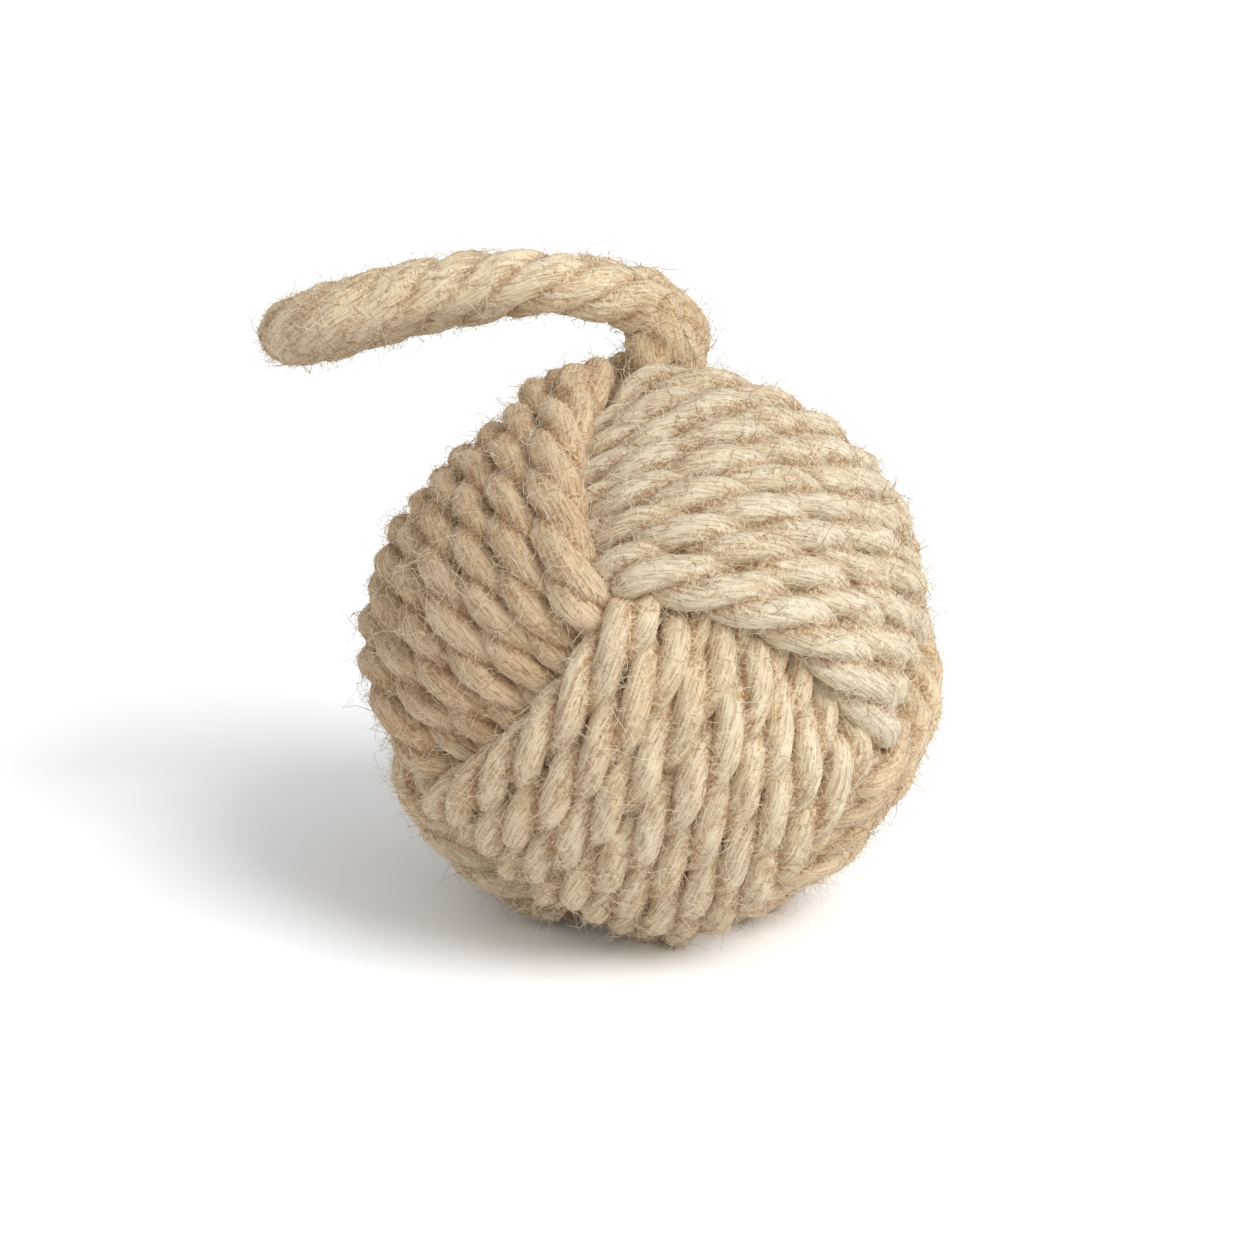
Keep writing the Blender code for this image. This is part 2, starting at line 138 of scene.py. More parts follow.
class Value:
    """A number on its way through a tree. Arithmetic on it adds Math nodes."""

    def __init__(self, graph, socket):
        self.graph = graph
        self.socket = socket

    __add__, __radd__ = arithmetic("ADD"), arithmetic("ADD", True)
    __sub__, __rsub__ = arithmetic("SUBTRACT"), arithmetic("SUBTRACT", True)
    __mul__, __rmul__ = arithmetic("MULTIPLY"), arithmetic("MULTIPLY", True)
    __truediv__, __rtruediv__ = arithmetic("DIVIDE"), arithmetic("DIVIDE", True)
    __pow__ = arithmetic("POWER")

    def other(self, name):
        """Another output of the same node."""
        return Value(self.graph, self.socket.node.outputs[name])


class Graph:
    """A node tree that is being built."""

    def __init__(self, tree):
        self.tree = tree

    def add(self, kind, settings=None, sockets=None, out=0):
        """Add a node, set it up, fill or link its inputs, and return one of its outputs."""
        node = self.tree.nodes.new(kind)
        for name, value in (settings or {}).items():
            if name == "stops":
                self.set_stops(node.color_ramp, value)
            else:
                setattr(node, name, value)
        for key, value in (sockets or {}).items():
            socket = self.find(node.inputs, key)
            if isinstance(value, Value):
                self.tree.links.new(value.socket, socket)
            elif socket.type == "RGBA":
                socket.default_value = (*value, 1.0)
            else:
                socket.default_value = value
        return Value(self, self.find(node.outputs, out)) if node.outputs else None

    def find(self, sockets, key):
        """A socket by its place, its identifier or the name of the one that is in use."""
        if isinstance(key, int):
            return sockets[key]
        for socket in sockets:
            if socket.identifier == key:
                return socket
        return next(socket for socket in sockets if socket.name == key and socket.enabled)

    def set_stops(self, ramp, stops):
        """Give a colour ramp its stops."""
        while len(ramp.elements) < len(stops):
            ramp.elements.new(1.0)
        for element, (place, colour) in zip(ramp.elements, stops):
            element.position = place
            element.color = (*colour, 1.0)

    def math(self, operation, *values):
        """A Math node on numbers and values."""
        return self.add("ShaderNodeMath", {"operation": operation}, dict(enumerate(values)))

    def vector(self, operation, *values, out=0):
        """A Vector Math node."""
        return self.add("ShaderNodeVectorMath", {"operation": operation},
                        dict(enumerate(values)), out)

    def combine(self, x, y, z):
        """Three numbers as one vector."""
        return self.add("ShaderNodeCombineXYZ", None, {0: x, 1: y, 2: z})

    def noise(self, place, scale, detail=2.0, rough=0.5, out="Fac"):
        """Soft noise, from 0 to 1."""
        return self.add("ShaderNodeTexNoise", None,
                        {"Vector": place, "Scale": scale, "Detail": detail, "Roughness": rough},
                        out)

    def ramp(self, value, *stops):
        """A colour that follows a number."""
        return self.add("ShaderNodeValToRGB", {"stops": stops}, {"Fac": value}, "Color")

    def blend_colours(self, share, first, second, way="MIX"):
        """Two colours mixed by a share."""
        return self.add("ShaderNodeMix", {"data_type": "RGBA", "blend_type": way},
                        {"Factor_Float": share, "A_Color": first, "B_Color": second},
                        "Result_Color")

    def rescale(self, value, low, high, to_low=0.0, to_high=1.0):
        """A number moved from one span to another and kept inside it."""
        return self.add("ShaderNodeMapRange", {"clamp": True},
                        {"Value": value, "From Min": low, "From Max": high,
                         "To Min": to_low, "To Max": to_high}, "Result")

    def stored(self, name, out="Fac"):
        """An attribute of the mesh, as a material reads it."""
        return self.add("ShaderNodeAttribute", {"attribute_name": name}, None, out)

    def read(self, name, kind="FLOAT"):
        """A named attribute, as a geometry tree reads it."""
        return self.add("GeometryNodeInputNamedAttribute", {"data_type": kind}, {"Name": name})

    def store(self, geometry, name, value, domain="POINT"):
        """Keep a value as a named attribute of every point or instance."""
        kind = "FLOAT_VECTOR" if value.socket.type == "VECTOR" else "FLOAT"
        return self.add("GeometryNodeStoreNamedAttribute", {"data_type": kind, "domain": domain},
                        {"Geometry": geometry, "Name": name, "Value": value})

    def scaled(self, vector, share):
        """A vector times a number."""
        return self.add("ShaderNodeVectorMath", {"operation": "SCALE"},
                        {0: vector, "Scale": share})

    def drawn_out(self, place, share, *sizes):
        """Noise that is longer along the rope than across it."""
        return self.noise(self.vector("MULTIPLY", place, (1.0, 1.0, share)), *sizes)

    def sway(self, place, scale):
        """A random vector that changes softly from place to place."""
        noise = self.noise(place, scale, 1.0, 0.5, "Color")
        return self.vector("SUBTRACT", noise, (0.5, 0.5, 0.5))

    def bump(self, height, strength, depth):
        """A bumpy surface."""
        return self.add("ShaderNodeBump", None,
                        {"Height": height, "Strength": strength, "Distance": depth})

    def position(self):
        """Where each point is."""
        return self.add("GeometryNodeInputPosition")

    def circle(self, points):
        """A circle of radius one."""
        return self.add("GeometryNodeCurvePrimitiveCircle", {"mode": "RADIUS"},
                        {"Resolution": points, "Radius": 1.0})

    def move(self, geometry, way, value):
        """Move every point by an Offset, or to a Position."""
        return self.add("GeometryNodeSetPosition", None, {"Geometry": geometry, way: value})

    def off_floor(self, geometry, level):
        """Lift what lies lower than a level up to it."""
        raised = self.vector("MAXIMUM", self.position(), (-9.0, -9.0, level))
        return self.move(geometry, "Position", raised)


print("node helpers are ready")

# %% [markdown]
# ## Light and floor
#
# The knot was photographed on white paper in soft light from the right. Two suns with wide
# discs give the same soft shadow: a high one makes it, and a low, much wider one lights the
# right side. The plain white world fills it in. For camera rays only, the paper's colour is
# lifted until it ends in white, while the shadow on it stays.

# %% World, lamps and floor
LAMPS = (                       # name, angle to the right of the camera, height, width, strength
    ("soft_lamp", 50.0, 43.0, 34.0, 1.80),
    ("side_lamp", 62.0, 16.0, 110.0, 0.80),
)
FILL_STRENGTH = 0.50
PAPER_COLOUR = 0.92
PAPER_SEEN = (1.22, 1.24, 1.26)  # the paper as the camera sees it, so that it ends in white
PAPER_REACH = 6.0               # half the paper's width


def empty_graph(holder):
    """The emptied node tree of a world or a material."""
    holder.use_nodes = True
    holder.node_tree.nodes.clear()
    return Graph(holder.node_tree)


def light_stage():
    """The white world, the lamps and the floor."""
    world = bpy.data.worlds.new("white_studio")
    sky = empty_graph(world)
    path = sky.add("ShaderNodeLightPath", None, None, "Is Camera Ray")
    seen = path + path.other("Is Glossy Ray") + path.other("Is Transmission Ray")
    seen = sky.math("MINIMUM", seen, 1.0)
    strength = FILL_STRENGTH + seen * (1.0 - FILL_STRENGTH)
    shade = sky.add("ShaderNodeBackground", None,
                    {"Color": (1.0, 1.0, 1.0), "Strength": strength})
    sky.add("ShaderNodeOutputWorld", None, {"Surface": shade})
    bpy.context.scene.world = world

    for name, turn, height, width, strength in LAMPS:
        sun = bpy.data.lights.new(name, "SUN")
        sun.energy = strength
        sun.angle = math.radians(width)
        way = Euler((math.radians(90.0 - height), 0.0, math.radians(turn)))
        add_object(name, sun).rotation_euler = way

    paper = bpy.data.materials.new("white_paper")
    sheet = empty_graph(paper)
    path = sheet.add("ShaderNodeLightPath", None, None, "Is Camera Ray")
    white = sheet.blend_colours(path, (PAPER_COLOUR,) * 3, PAPER_SEEN)
    matt = sheet.add("ShaderNodeBsdfDiffuse", None, {"Color": white})
    sheet.add("ShaderNodeOutputMaterial", None, {"Surface": matt})

    square = ((-1, -1), (1, -1), (1, 1), (-1, 1))
    corners = [(x * PAPER_REACH, y * PAPER_REACH, 0) for x, y in square]
    mesh = bpy.data.meshes.new("floor")
    mesh.from_pydata(corners, [], [(0, 1, 2, 3)])
    mesh.materials.append(paper)
    add_object("floor", mesh)


light_stage()
bpy.context.scene.view_settings.view_transform = "Standard"
print("floor, world and lamps are in place")

# %% [markdown]
# ## The way of the rope through the knot
#
# A fist knot has three sets of turns. Each set goes round its own axis, and the three axes
# stand square to each other. A turn lies on the outside over one neighbour and dives under the
# other. The way of the rope is worked out from those rules first, then drawn snug: bends are
# pulled straight and turns that touch are pushed apart, many times over. This is the same
# winding that the solids were made from.

# %% Sizes of the winding
CORD_RADIUS = 0.0094 / 2
BURIED_RADIUS = 0.0077 / 2
CORD_GAP = 0.0006
POINTS_PER_TURN = 24
SET_SPREAD = 73.0               # angle that the turns of one set cover on the outside
INNER_SPREAD = 85.0             # and under the next set
DIVE_START = 37.0               # a turn dives between these angles from its outermost point
DIVE_END = 60.0
SEAT_DEPTH = 0.0040             # how much the ball is flattened where it stands
BAG_RADIUS = 0.0818 / 2
BAG_CLEARANCE = 0.0014
INNER_RADIUS = BAG_RADIUS + BAG_CLEARANCE + BURIED_RADIUS
OUTER_RADIUS = INNER_RADIUS + 0.0120
BALL_RADIUS = OUTER_RADIUS + CORD_RADIUS
CORD_PITCH = 2 * CORD_RADIUS + CORD_GAP
TURNS = int(math.radians(SET_SPREAD) * OUTER_RADIUS / CORD_PITCH)
LEG_RADIUS = 0.0124 / 2
JOIN_GAP = 0.0003
STUB_LENGTH = 0.0030
ROOT_LENGTH = 0.0080
LEAN = 20.0
KNOT_TURN = (25.8, -32.1, 41.5)
LEANING = Euler((math.radians(90.0 - LEAN), 0.0, 0.0)).to_matrix()
KNOT = LEANING @ Euler([math.radians(angle) for angle in KNOT_TURN]).to_matrix()
KNOT_AXES = [np.array(KNOT.col[index]) for index in range(3)]
print(TURNS, "turns in each set, on a ball of", round(2000 * BALL_RADIUS, 1), "mm")

# %% One set of turns


def ease(share, whole=1.0):
    """A soft rise from zero to the whole, for shares from 0 to 1."""
    return whole * share * share * (3.0 - 2.0 * share)


def smooth(value):
    """Zero up to 0 and one from 1, with a soft rise between."""
    return ease(min(max(value, 0.0), 1.0))


def lay_set(axis, outer, inner, start, way, travel, first_lane, shift_at, side):
    """Points along one set of turns, and how deep each lies, from 0 outside to 1 buried."""
    steps = round(travel / 360.0 * POINTS_PER_TURN)
    points = []
    depths = []
    for step in range(steps + 1):
        travelled = travel * step / steps
        since_shift = (travelled - shift_at) % 360.0
        lane = first_lane + math.floor((travelled - shift_at) / 360.0) + smooth(since_shift / 90.0)
        angle = start + way * travelled
        off_pole = min(angle % 180.0, 180.0 - angle % 180.0)
        depth = smooth((off_pole - DIVE_START) / (DIVE_END - DIVE_START))
        radius = OUTER_RADIUS + (INNER_RADIUS - OUTER_RADIUS) * depth
        lane_angle = (SET_SPREAD + (INNER_SPREAD - SET_SPREAD) * depth) / TURNS
        across = side * math.radians(lane_angle * ((TURNS - 1) / 2.0 - lane))
        along = math.radians(angle)
        round_axis = math.cos(along) * outer + math.sin(along) * inner
        points.append(radius * (math.cos(across) * round_axis + math.sin(across) * axis))
        depths.append(depth)
    return points, depths


def norms(vectors):
    """The length of each vector."""
    return np.linalg.norm(vectors, axis=1)


def running_sum(steps):
    """Zero, and then the sum after each step."""
    return np.concatenate([[0.0], np.cumsum(steps)])


# %% The loop of the handle
LEG_PITCH = 0.0155              # between the legs, where they leave the knot
LOOP_PITCH = 0.0320             # between the legs, along the loop
LOOP_REACH = 0.0807
LOOP_TIP_RISE = 0.0013
LOOP_CROWN = 0.0165
LEG_LEAN = 0.0055
CROWN_REACH = 0.0380
HINGE_OUT = 0.0036
HINGE_CLOCK = 87.0
BASE_TWIST = 20.0
TIP_TWIST = -2.0
TWIST_FADE = 3.0
LEG_STEPS = 16
TIP_STEPS = 10
CURVE_SAMPLES = 200


def loop_middle():
    """Evenly spaced points along the middle of the handle, and its direction at each."""
    clock = math.radians(HINGE_CLOCK)
    base = Vector((math.cos(clock), math.sin(clock))) * (BALL_RADIUS + HINGE_OUT)
    pulls = [base + Vector(pull) for pull in (
        (0.0, 0.0),
        (-LEG_LEAN, LOOP_CROWN),
        (-CROWN_REACH, LOOP_CROWN),
        (-LOOP_REACH, LOOP_TIP_RISE),
    )]
    fine = np.linspace(0.0, 1.0, CURVE_SAMPLES)[:, None]
    curve = sum(
        np.array(pull) * weight * fine ** power * (1 - fine) ** (3 - power)
        for power, (pull, weight) in enumerate(zip(pulls, (1, 3, 3, 1)))
    )
    lengths = running_sum(norms(np.diff(curve, axis=0)))
    wanted = np.linspace(0.0, lengths[-1] - LOOP_PITCH / 2, LEG_STEPS + 1)
    slopes = np.gradient(curve, lengths, axis=0)
    middles = [np.interp(wanted, lengths, curve[:, side]) for side in (0, 1)]
    along = [np.interp(wanted, lengths, slopes[:, side]) for side in (0, 1)]
    middles = [Vector((x, y, 0.0)) for x, y in zip(*middles)]
    along = [Vector((x, y, 0.0)).normalized() for x, y in zip(*along)]
    return middles, along


def loop_stations():
    """Middle, direction and half step across to the near leg, at each step of the handle."""
    stations = []
    for step, (middle, along) in enumerate(zip(*loop_middle())):
        share = step / LEG_STEPS
        fade = (1.0 - share) ** TWIST_FADE
        twist = math.radians(TIP_TWIST + (BASE_TWIST - TIP_TWIST) * fade)
        pitch = LEG_PITCH + (LOOP_PITCH - LEG_PITCH) * smooth(2 * share)
        across = Vector((-along.y * math.sin(twist), along.x * math.sin(twist), math.cos(twist)))
        stations.append((middle, along, across * (pitch / 2)))
    return stations


def hinge_points():
    """Middles of the near leg and the far leg at the hinge, from the middle of the ball."""
    middle, _, across = loop_stations()[0]
    return LEANING @ (middle + across), LEANING @ (middle - across)


def root_points(hinge, length):
    """Top and bottom of the straight rope under a leg, which heads for the middle."""
    inward = -hinge.normalized()
    top = hinge + inward * (LEG_RADIUS + JOIN_GAP)
    return np.array(top), np.array(top + inward * length)


def handle_points():
    """The rope of the handle, from its far leg over the tip to its near leg."""
    stations = loop_stations()
    points = [middle - across for middle, _, across in stations]
    _, along, across = stations[-1]
    middle = stations[-1][0]
    for step in range(1, TIP_STEPS):
        angle = math.pi * step / TIP_STEPS
        forward = along * across.length * math.sin(angle)
        points.append(middle - across * math.cos(angle) + forward)
    points += [middle + across for middle, _, across in reversed(stations)]
    return [np.array(LEANING @ point) for point in points]


print("the handle's rope has", len(handle_points()), "points")

# %% Drawing the winding snug
SNUG_ROUNDS = 400
LAST_ROUNDS = 140
PULL = 0.06
FIRMNESS = 0.02
LAST_FIRMNESS = 0.002
PUSH = 1.2
SNUG_PUSHES = 2
LAST_PUSHES = 5
NEAR = 2.8 * CORD_PITCH         # runs farther apart than this never meet in a few rounds
REFRESH = 12                    # rounds between two looks at which runs are near
DRAW_IN = 0.3                   # share of a bulge that one round draws back into the ball


def near_runs(points, runs):
    """Pairs of straight runs that are near each other, leaving out those that touch."""
    middles = points[runs].mean(axis=1)
    pairs = []
    for place in range(len(runs) - 1):
        away = norms(middles[place + 1:] - middles[place])
        found = np.nonzero(away < NEAR)[0] + place + 1
        apart = (runs[found] != runs[place, 0]) & (runs[found] != runs[place, 1])
        found = found[apart.all(axis=1)]
        pairs.append(np.column_stack([np.full(len(found), place), found]))
    pairs = np.concatenate(pairs)
    return runs[pairs[:, 0]], runs[pairs[:, 1]]


def closest(points, first, second):
    """For each pair of runs, where each is nearest to the other, and the step between."""
    start_a = points[first[:, 0]]
    run_a = points[first[:, 1]] - start_a
    start_b = points[second[:, 0]]
    run_b = points[second[:, 1]] - start_b
    between = start_a - start_b
    aa = (run_a * run_a).sum(axis=1)
    bb = (run_b * run_b).sum(axis=1)
    ab = (run_a * run_b).sum(axis=1)
    a_off = (run_a * between).sum(axis=1)
    b_off = (run_b * between).sum(axis=1)
    spread = np.maximum(aa * bb - ab * ab, 1e-6 * aa * bb)
    along_a = np.clip((ab * b_off - a_off * bb) / spread, 0.0, 1.0)
    along_b = np.clip((ab * along_a + b_off) / bb, 0.0, 1.0)
    along_a = np.clip((ab * along_b - a_off) / aa, 0.0, 1.0)
    step = between + run_a * along_a[:, None] - run_b * along_b[:, None]
    return along_a, along_b, step


def push_apart(points, radii, held, first, second):
    """Move runs that are too close away from each other."""
    along_a, along_b, step = closest(points, first, second)
    away = norms(step)
    at_a = radii[first[:, 0]] * (1 - along_a) + radii[first[:, 1]] * along_a
    at_b = radii[second[:, 0]] * (1 - along_b) + radii[second[:, 1]] * along_b
    short = at_a + at_b + CORD_GAP - away
    hit = short > 0
    push = (short[hit] / 2 / np.maximum(away[hit], 1e-9))[:, None] * step[hit]
    moved = np.zeros_like(points)
    weight = np.zeros(len(points))
    ends = (
        (first[hit, 0], 1 - along_a[hit], 1.0),
        (first[hit, 1], along_a[hit], 1.0),
        (second[hit, 0], 1 - along_b[hit], -1.0),
        (second[hit, 1], along_b[hit], -1.0),
    )
    for index, share, sign in ends:
        np.add.at(moved, index, sign * push * share[:, None])
        np.add.at(weight, index, share)
    moved = PUSH * moved / np.maximum(weight, 1.0)[:, None]
    moved[held] = 0.0
    return points + moved


def keep_in_ball(points, radii, held):
    """Keep the rope outside the bag, above the floor and near the inside of the ball."""
    distance = norms(points)
    low = BAG_RADIUS + BAG_CLEARANCE + radii
    high = BALL_RADIUS - radii
    scale = np.where(distance < low, low / distance, 1.0)
    scale = np.where(distance > high, 1.0 + DRAW_IN * (high / distance - 1.0), scale)
    scale[held] = 1.0
    points = points * scale[:, None]
    floor = radii - BALL_RADIUS + SEAT_DEPTH
    points[:, 2] = np.where(held, points[:, 2], np.maximum(points[:, 2], floor))
    return points


def bends(points, inside):
    """How far each point inside the rope is from the middle of its neighbours, doubled."""
    bend = np.zeros_like(points)
    bend[inside] = points[inside.start - 1:inside.stop - 1] - 2 * points[inside]
    bend[inside] += points[inside.start + 1:inside.stop + 1]
    return bend


def draw_snug(points, radii, held, runs, joins, rope_points):
    """Pull the winding tight over the bag, with every turn clear of every other."""
    inside = slice(1, rope_points - 1)
    for rounds, pull, firmness, pushes in (
        (SNUG_ROUNDS, PULL, FIRMNESS, SNUG_PUSHES),
        (LAST_ROUNDS, 0.0, LAST_FIRMNESS, LAST_PUSHES),
    ):
        for index in range(rounds):
            if index % REFRESH == 0:
                first, second = near_runs(points, runs)
            change = pull * (1 - index / rounds) * bends(points, inside)
            change -= firmness * bends(bends(points, inside), inside)
            change[held] = 0.0
            points = points + change
            for _ in range(pushes):
                points = push_apart(points, radii, held, first, second)
                points = keep_in_ball(points, radii, held)
                for join in joins:
                    points[join] = (points[join - 1] + points[join + 1]) / 2
    return points


def rope_runs(count):
    """The straight runs between neighbouring points of one rope."""
    places = np.arange(count - 1)
    return np.column_stack([places, places + 1])


def wind_knot():
    """Points and depths of the rope in the knot, and the first point of each set."""
    one, two, three = KNOT_AXES
    full = 360.0 * TURNS
    sets = (                    # start, way, travel, first lane, where it shifts lane, side
        lay_set(one, two, three, -45.0, -1, full, -1, 0.0, 1),
        lay_set(two, three, one, -135.0, -1, full, 0, 270.0, 1),
        lay_set(three, one, two, -135.0, 1, full, -1, 0.0, -1),
    )
    near, far = hinge_points()
    top, bottom = root_points(near, STUB_LENGTH)
    points = [top, bottom]
    depths = [0.0, 1.0]
    starts = [0]
    for place, (run, deep) in enumerate(sets):
        if place:
            starts.append(len(points))
        skipped = 1 if place == 0 else 0
        points += run[skipped:-1] if place < 2 else run
        depths += deep[skipped:-1] if place < 2 else deep
    radii = CORD_RADIUS + (BURIED_RADIUS - CORD_RADIUS) * np.clip(2 * np.array(depths), 0, 1)
    rope_points = len(points)
    points += root_points(far, ROOT_LENGTH)
    for hinge in (far, near):
        points += [np.array(hinge), np.array(hinge + hinge.normalized() * JOIN_GAP)]
    radii = np.concatenate([radii, [CORD_RADIUS] * 2, [LEG_RADIUS] * 4])
    posts = [rope_runs(2) + first for first in range(rope_points, len(points), 2)]
    runs = np.concatenate([rope_runs(rope_points), *posts])
    held = np.arange(len(points)) >= rope_points
    held[:2] = True
    points = draw_snug(np.array(points), radii, held, runs, starts[1:], rope_points)
    return points[:rope_points], np.array(depths), starts


knot_points, knot_depths, set_starts = wind_knot()
wound = norms(np.diff(knot_points, axis=0)).sum()
print("rope in the knot:", round(float(wound), 2), "m in", len(knot_points), "points")

# %% [markdown]
# ## One smooth rope from end to end
#
# The real rope doesn't stop where the handle meets the knot, so the whole length is joined
# up: the tucked end, the far leg, the loop, the near leg and the three sets. A cubic spline
# makes it smooth, and rings are set along it, close together where the rope shows and farther
# apart where other turns cover it. Handling has marked the rope: its loop is matted and its
# feet are frayed. The colour kept on the rings holds painted shade as well: the feet are
# browner for frayed fibres and for painted shade, one winding is browner, and the ball's left
# side is browner and its right side paler, as the lamps on the right light it. The turns close
# up over the knot's corners and ride up beside the loop's feet. A facing direction that never
# spins round the rope by itself lets the strands below twist evenly over its whole length.

# %% The whole length
SHOWN_RADIUS = 0.00635          # rope on the outside of the knot, over its three strands
COVERED_RADIUS = 0.0053
LOOP_RADIUS = 0.0065            # the loop's rope isn't pressed flat and is fuzzier
SHOWN_STEP = 0.0012             # between rings where the rope shows
COVERED_STEP = 0.0036
COVERED_FROM = 0.75             # depth from which other turns cover the rope
FINE_STEP = COVERED_STEP / 8    # between the places where the depth is looked up
LOOP_LAY = 0.0315               # one full turn of a strand round the rope, in the handle
KNOT_LAY = 0.0375               # and in the knot, where the rope is pulled straighter
THINNING = (0.45, 0.90)         # depths between which the rope is squeezed thinner
PRESSED_IN = 0.0014             # how far the outer turns are pressed into the ones below
MATTED = (0.030, 0.075)         # from the loop's tip, where its strands are matted and are clear
FRAYED = (0.005, 0.020)         # from the loop's feet, where the rope is rubbed fuzzy, and browner for frayed fibres and painted shade
FRAYED_FELT = 0.8
FOOT_BROWN_AND_SHADE = (0.16, 0.22, 0.29)  # what the frayed brown and the painted shade take out of red, green and blue
TIP_BROWNED = 0.12              # share of that at the loop's tip
SIDE_SHADE_SPAN = (-0.055, 0.055)         # painted shade and light: the rope is browner on the ball's left side and paler on its right, as the lamps on the right light it
SIDE_SHADE_BROWN = (0.05, 0.09, 0.12)
CORNER_SEARCH = 0.008           # how far round each corner its hole is looked for
CORNER_SPOTS = 15               # places tried each way
CORNER_NEAR = 0.006             # ropes this near a hole move over it by the whole draw
CORNER_FAR = 0.016
CORNER_DRAW = 0.0016
FOOT_MIDDLE = (-0.0075, 0.0185, 0.0620)  # from the ball's middle towards the raised turns
FOOT_LIFT = 0.0048
FOOT_WIDTH = (0.003, 0.024)     # from that line, where the lift is whole and where it ends
FOOT_RISE = (0.004, 0.020)      # above the outer turns, likewise
PIECE_NAMES = ("handle_rope", "first_winding", "second_winding", "third_winding")
PIECE_TONES_AND_SHADE = np.array((              # the rope is browner in some stretches and paler in others; the first winding's browner tone is painted shade for the left face it runs over
    (1.05, 1.08, 1.08), (0.895, 0.83, 0.76), (0.975, 0.965, 0.94), (0.945, 0.97, 0.985),
))
SMOOTHED = (0.36, 0.26, 0.04, 0.20)  # how far fuzz fills the grooves, in each stretch
BLEND_RINGS = 41                # over which one stretch turns into the next


def cubic_spline(knots, values, wanted):
    """A smooth curve through the values, read at the wanted places."""
    count = len(knots)
    gaps = np.diff(knots)
    slopes = np.diff(values, axis=0) / gaps[:, None]
    rows = np.eye(count)
    right = np.zeros_like(values)
    for place in range(1, count - 1):
        rows[place, place - 1:place + 2] = (
            gaps[place - 1], 2 * (gaps[place - 1] + gaps[place]), gaps[place])
        right[place] = 6 * (slopes[place] - slopes[place - 1])
    curved = np.linalg.solve(rows, right)
    place = np.clip(np.searchsorted(knots, wanted) - 1, 0, count - 2)
    gap = gaps[place][:, None]
    before = ((knots[place + 1] - wanted) / gaps[place])[:, None]
    after = 1 - before
    bent = (before ** 3 - before) * curved[place] + (after ** 3 - after) * curved[place + 1]
    return before * values[place] + after * values[place + 1] + bent * gap ** 2 / 6


def whole_rope():
    """Rings along the whole rope, with what the rope is like at each."""
    far_top, far_bottom = root_points(hinge_points()[1], ROOT_LENGTH)
    loop = handle_points()
    pressed = PRESSED_IN * (1.0 - knot_depths) / norms(knot_points)
    points = np.array([far_bottom, far_top, *loop, *(knot_points * (1.0 - pressed)[:, None])])
    handle_count = 2 + len(loop)
    depths = np.concatenate([[1.0], np.zeros(handle_count - 1), knot_depths])
    radii = np.interp(depths, THINNING, (SHOWN_RADIUS, COVERED_RADIUS))
    radii[2:handle_count] = LOOP_RADIUS
    radii[[0, 1, handle_count, handle_count + 1]] = SHOWN_RADIUS
    piece_starts = [0, handle_count + 1, *(handle_count + start for start in set_starts[1:])]
    knots = running_sum(norms(np.diff(points, axis=0)))
    fine = np.arange(0.0, knots[-1], FINE_STEP)
    fine_depth = np.interp(fine, knots, depths)
    step = np.where(fine_depth < COVERED_FROM, SHOWN_STEP, COVERED_STEP)
    rings = running_sum(np.diff(fine) / step[1:])
    wanted = np.interp(np.arange(0.0, rings[-1]), rings, fine)
    pieces = np.searchsorted(knots[piece_starts[1:]], wanted, side="right")
    from_tip = abs(wanted - knots[2 + len(loop) // 2])
    lays = np.where(pieces == 0, LOOP_LAY, KNOT_LAY)
    habits = np.column_stack([PIECE_TONES_AND_SHADE, SMOOTHED])[pieces]
    habits = np.pad(habits, ((BLEND_RINGS // 2,) * 2, (0, 0)), "edge")
    habits = np.lib.stride_tricks.sliding_window_view(habits, BLEND_RINGS, axis=0).mean(axis=2)
    matted = np.interp(from_tip, MATTED, (1.0, 0.0))
    from_foot = np.minimum(abs(wanted - knots[2]), abs(wanted - knots[handle_count - 1]))
    frayed = np.interp(from_foot, FRAYED, (1.0, 0.0))
    # Browner at the feet, for frayed fibres and painted shade there, and a little at the tip.
    browned_and_shaded = 1.0 - np.outer(frayed + TIP_BROWNED * matted, FOOT_BROWN_AND_SHADE)
    middles = cubic_spline(knots, points, wanted)
    # Painted shade and light: the left side of the ball is browner and the right side paler.
    browned_and_shaded *= 1.0 - np.outer(np.interp(middles[:, 0], SIDE_SHADE_SPAN, (1.0, -1.0)), SIDE_SHADE_BROWN)
    return {
        "points": middles + np.array(BALL_MIDDLE),
        "felt": np.maximum(np.maximum(matted, FRAYED_FELT * frayed), habits[:, 3]),
        "rope_radius": np.interp(wanted, knots, radii),
        "along": wanted,
        "tone": habits[:, :3] * browned_and_shaded,
        "laid": running_sum(np.diff(wanted) / lays[1:]),
        "piece": pieces,
    }


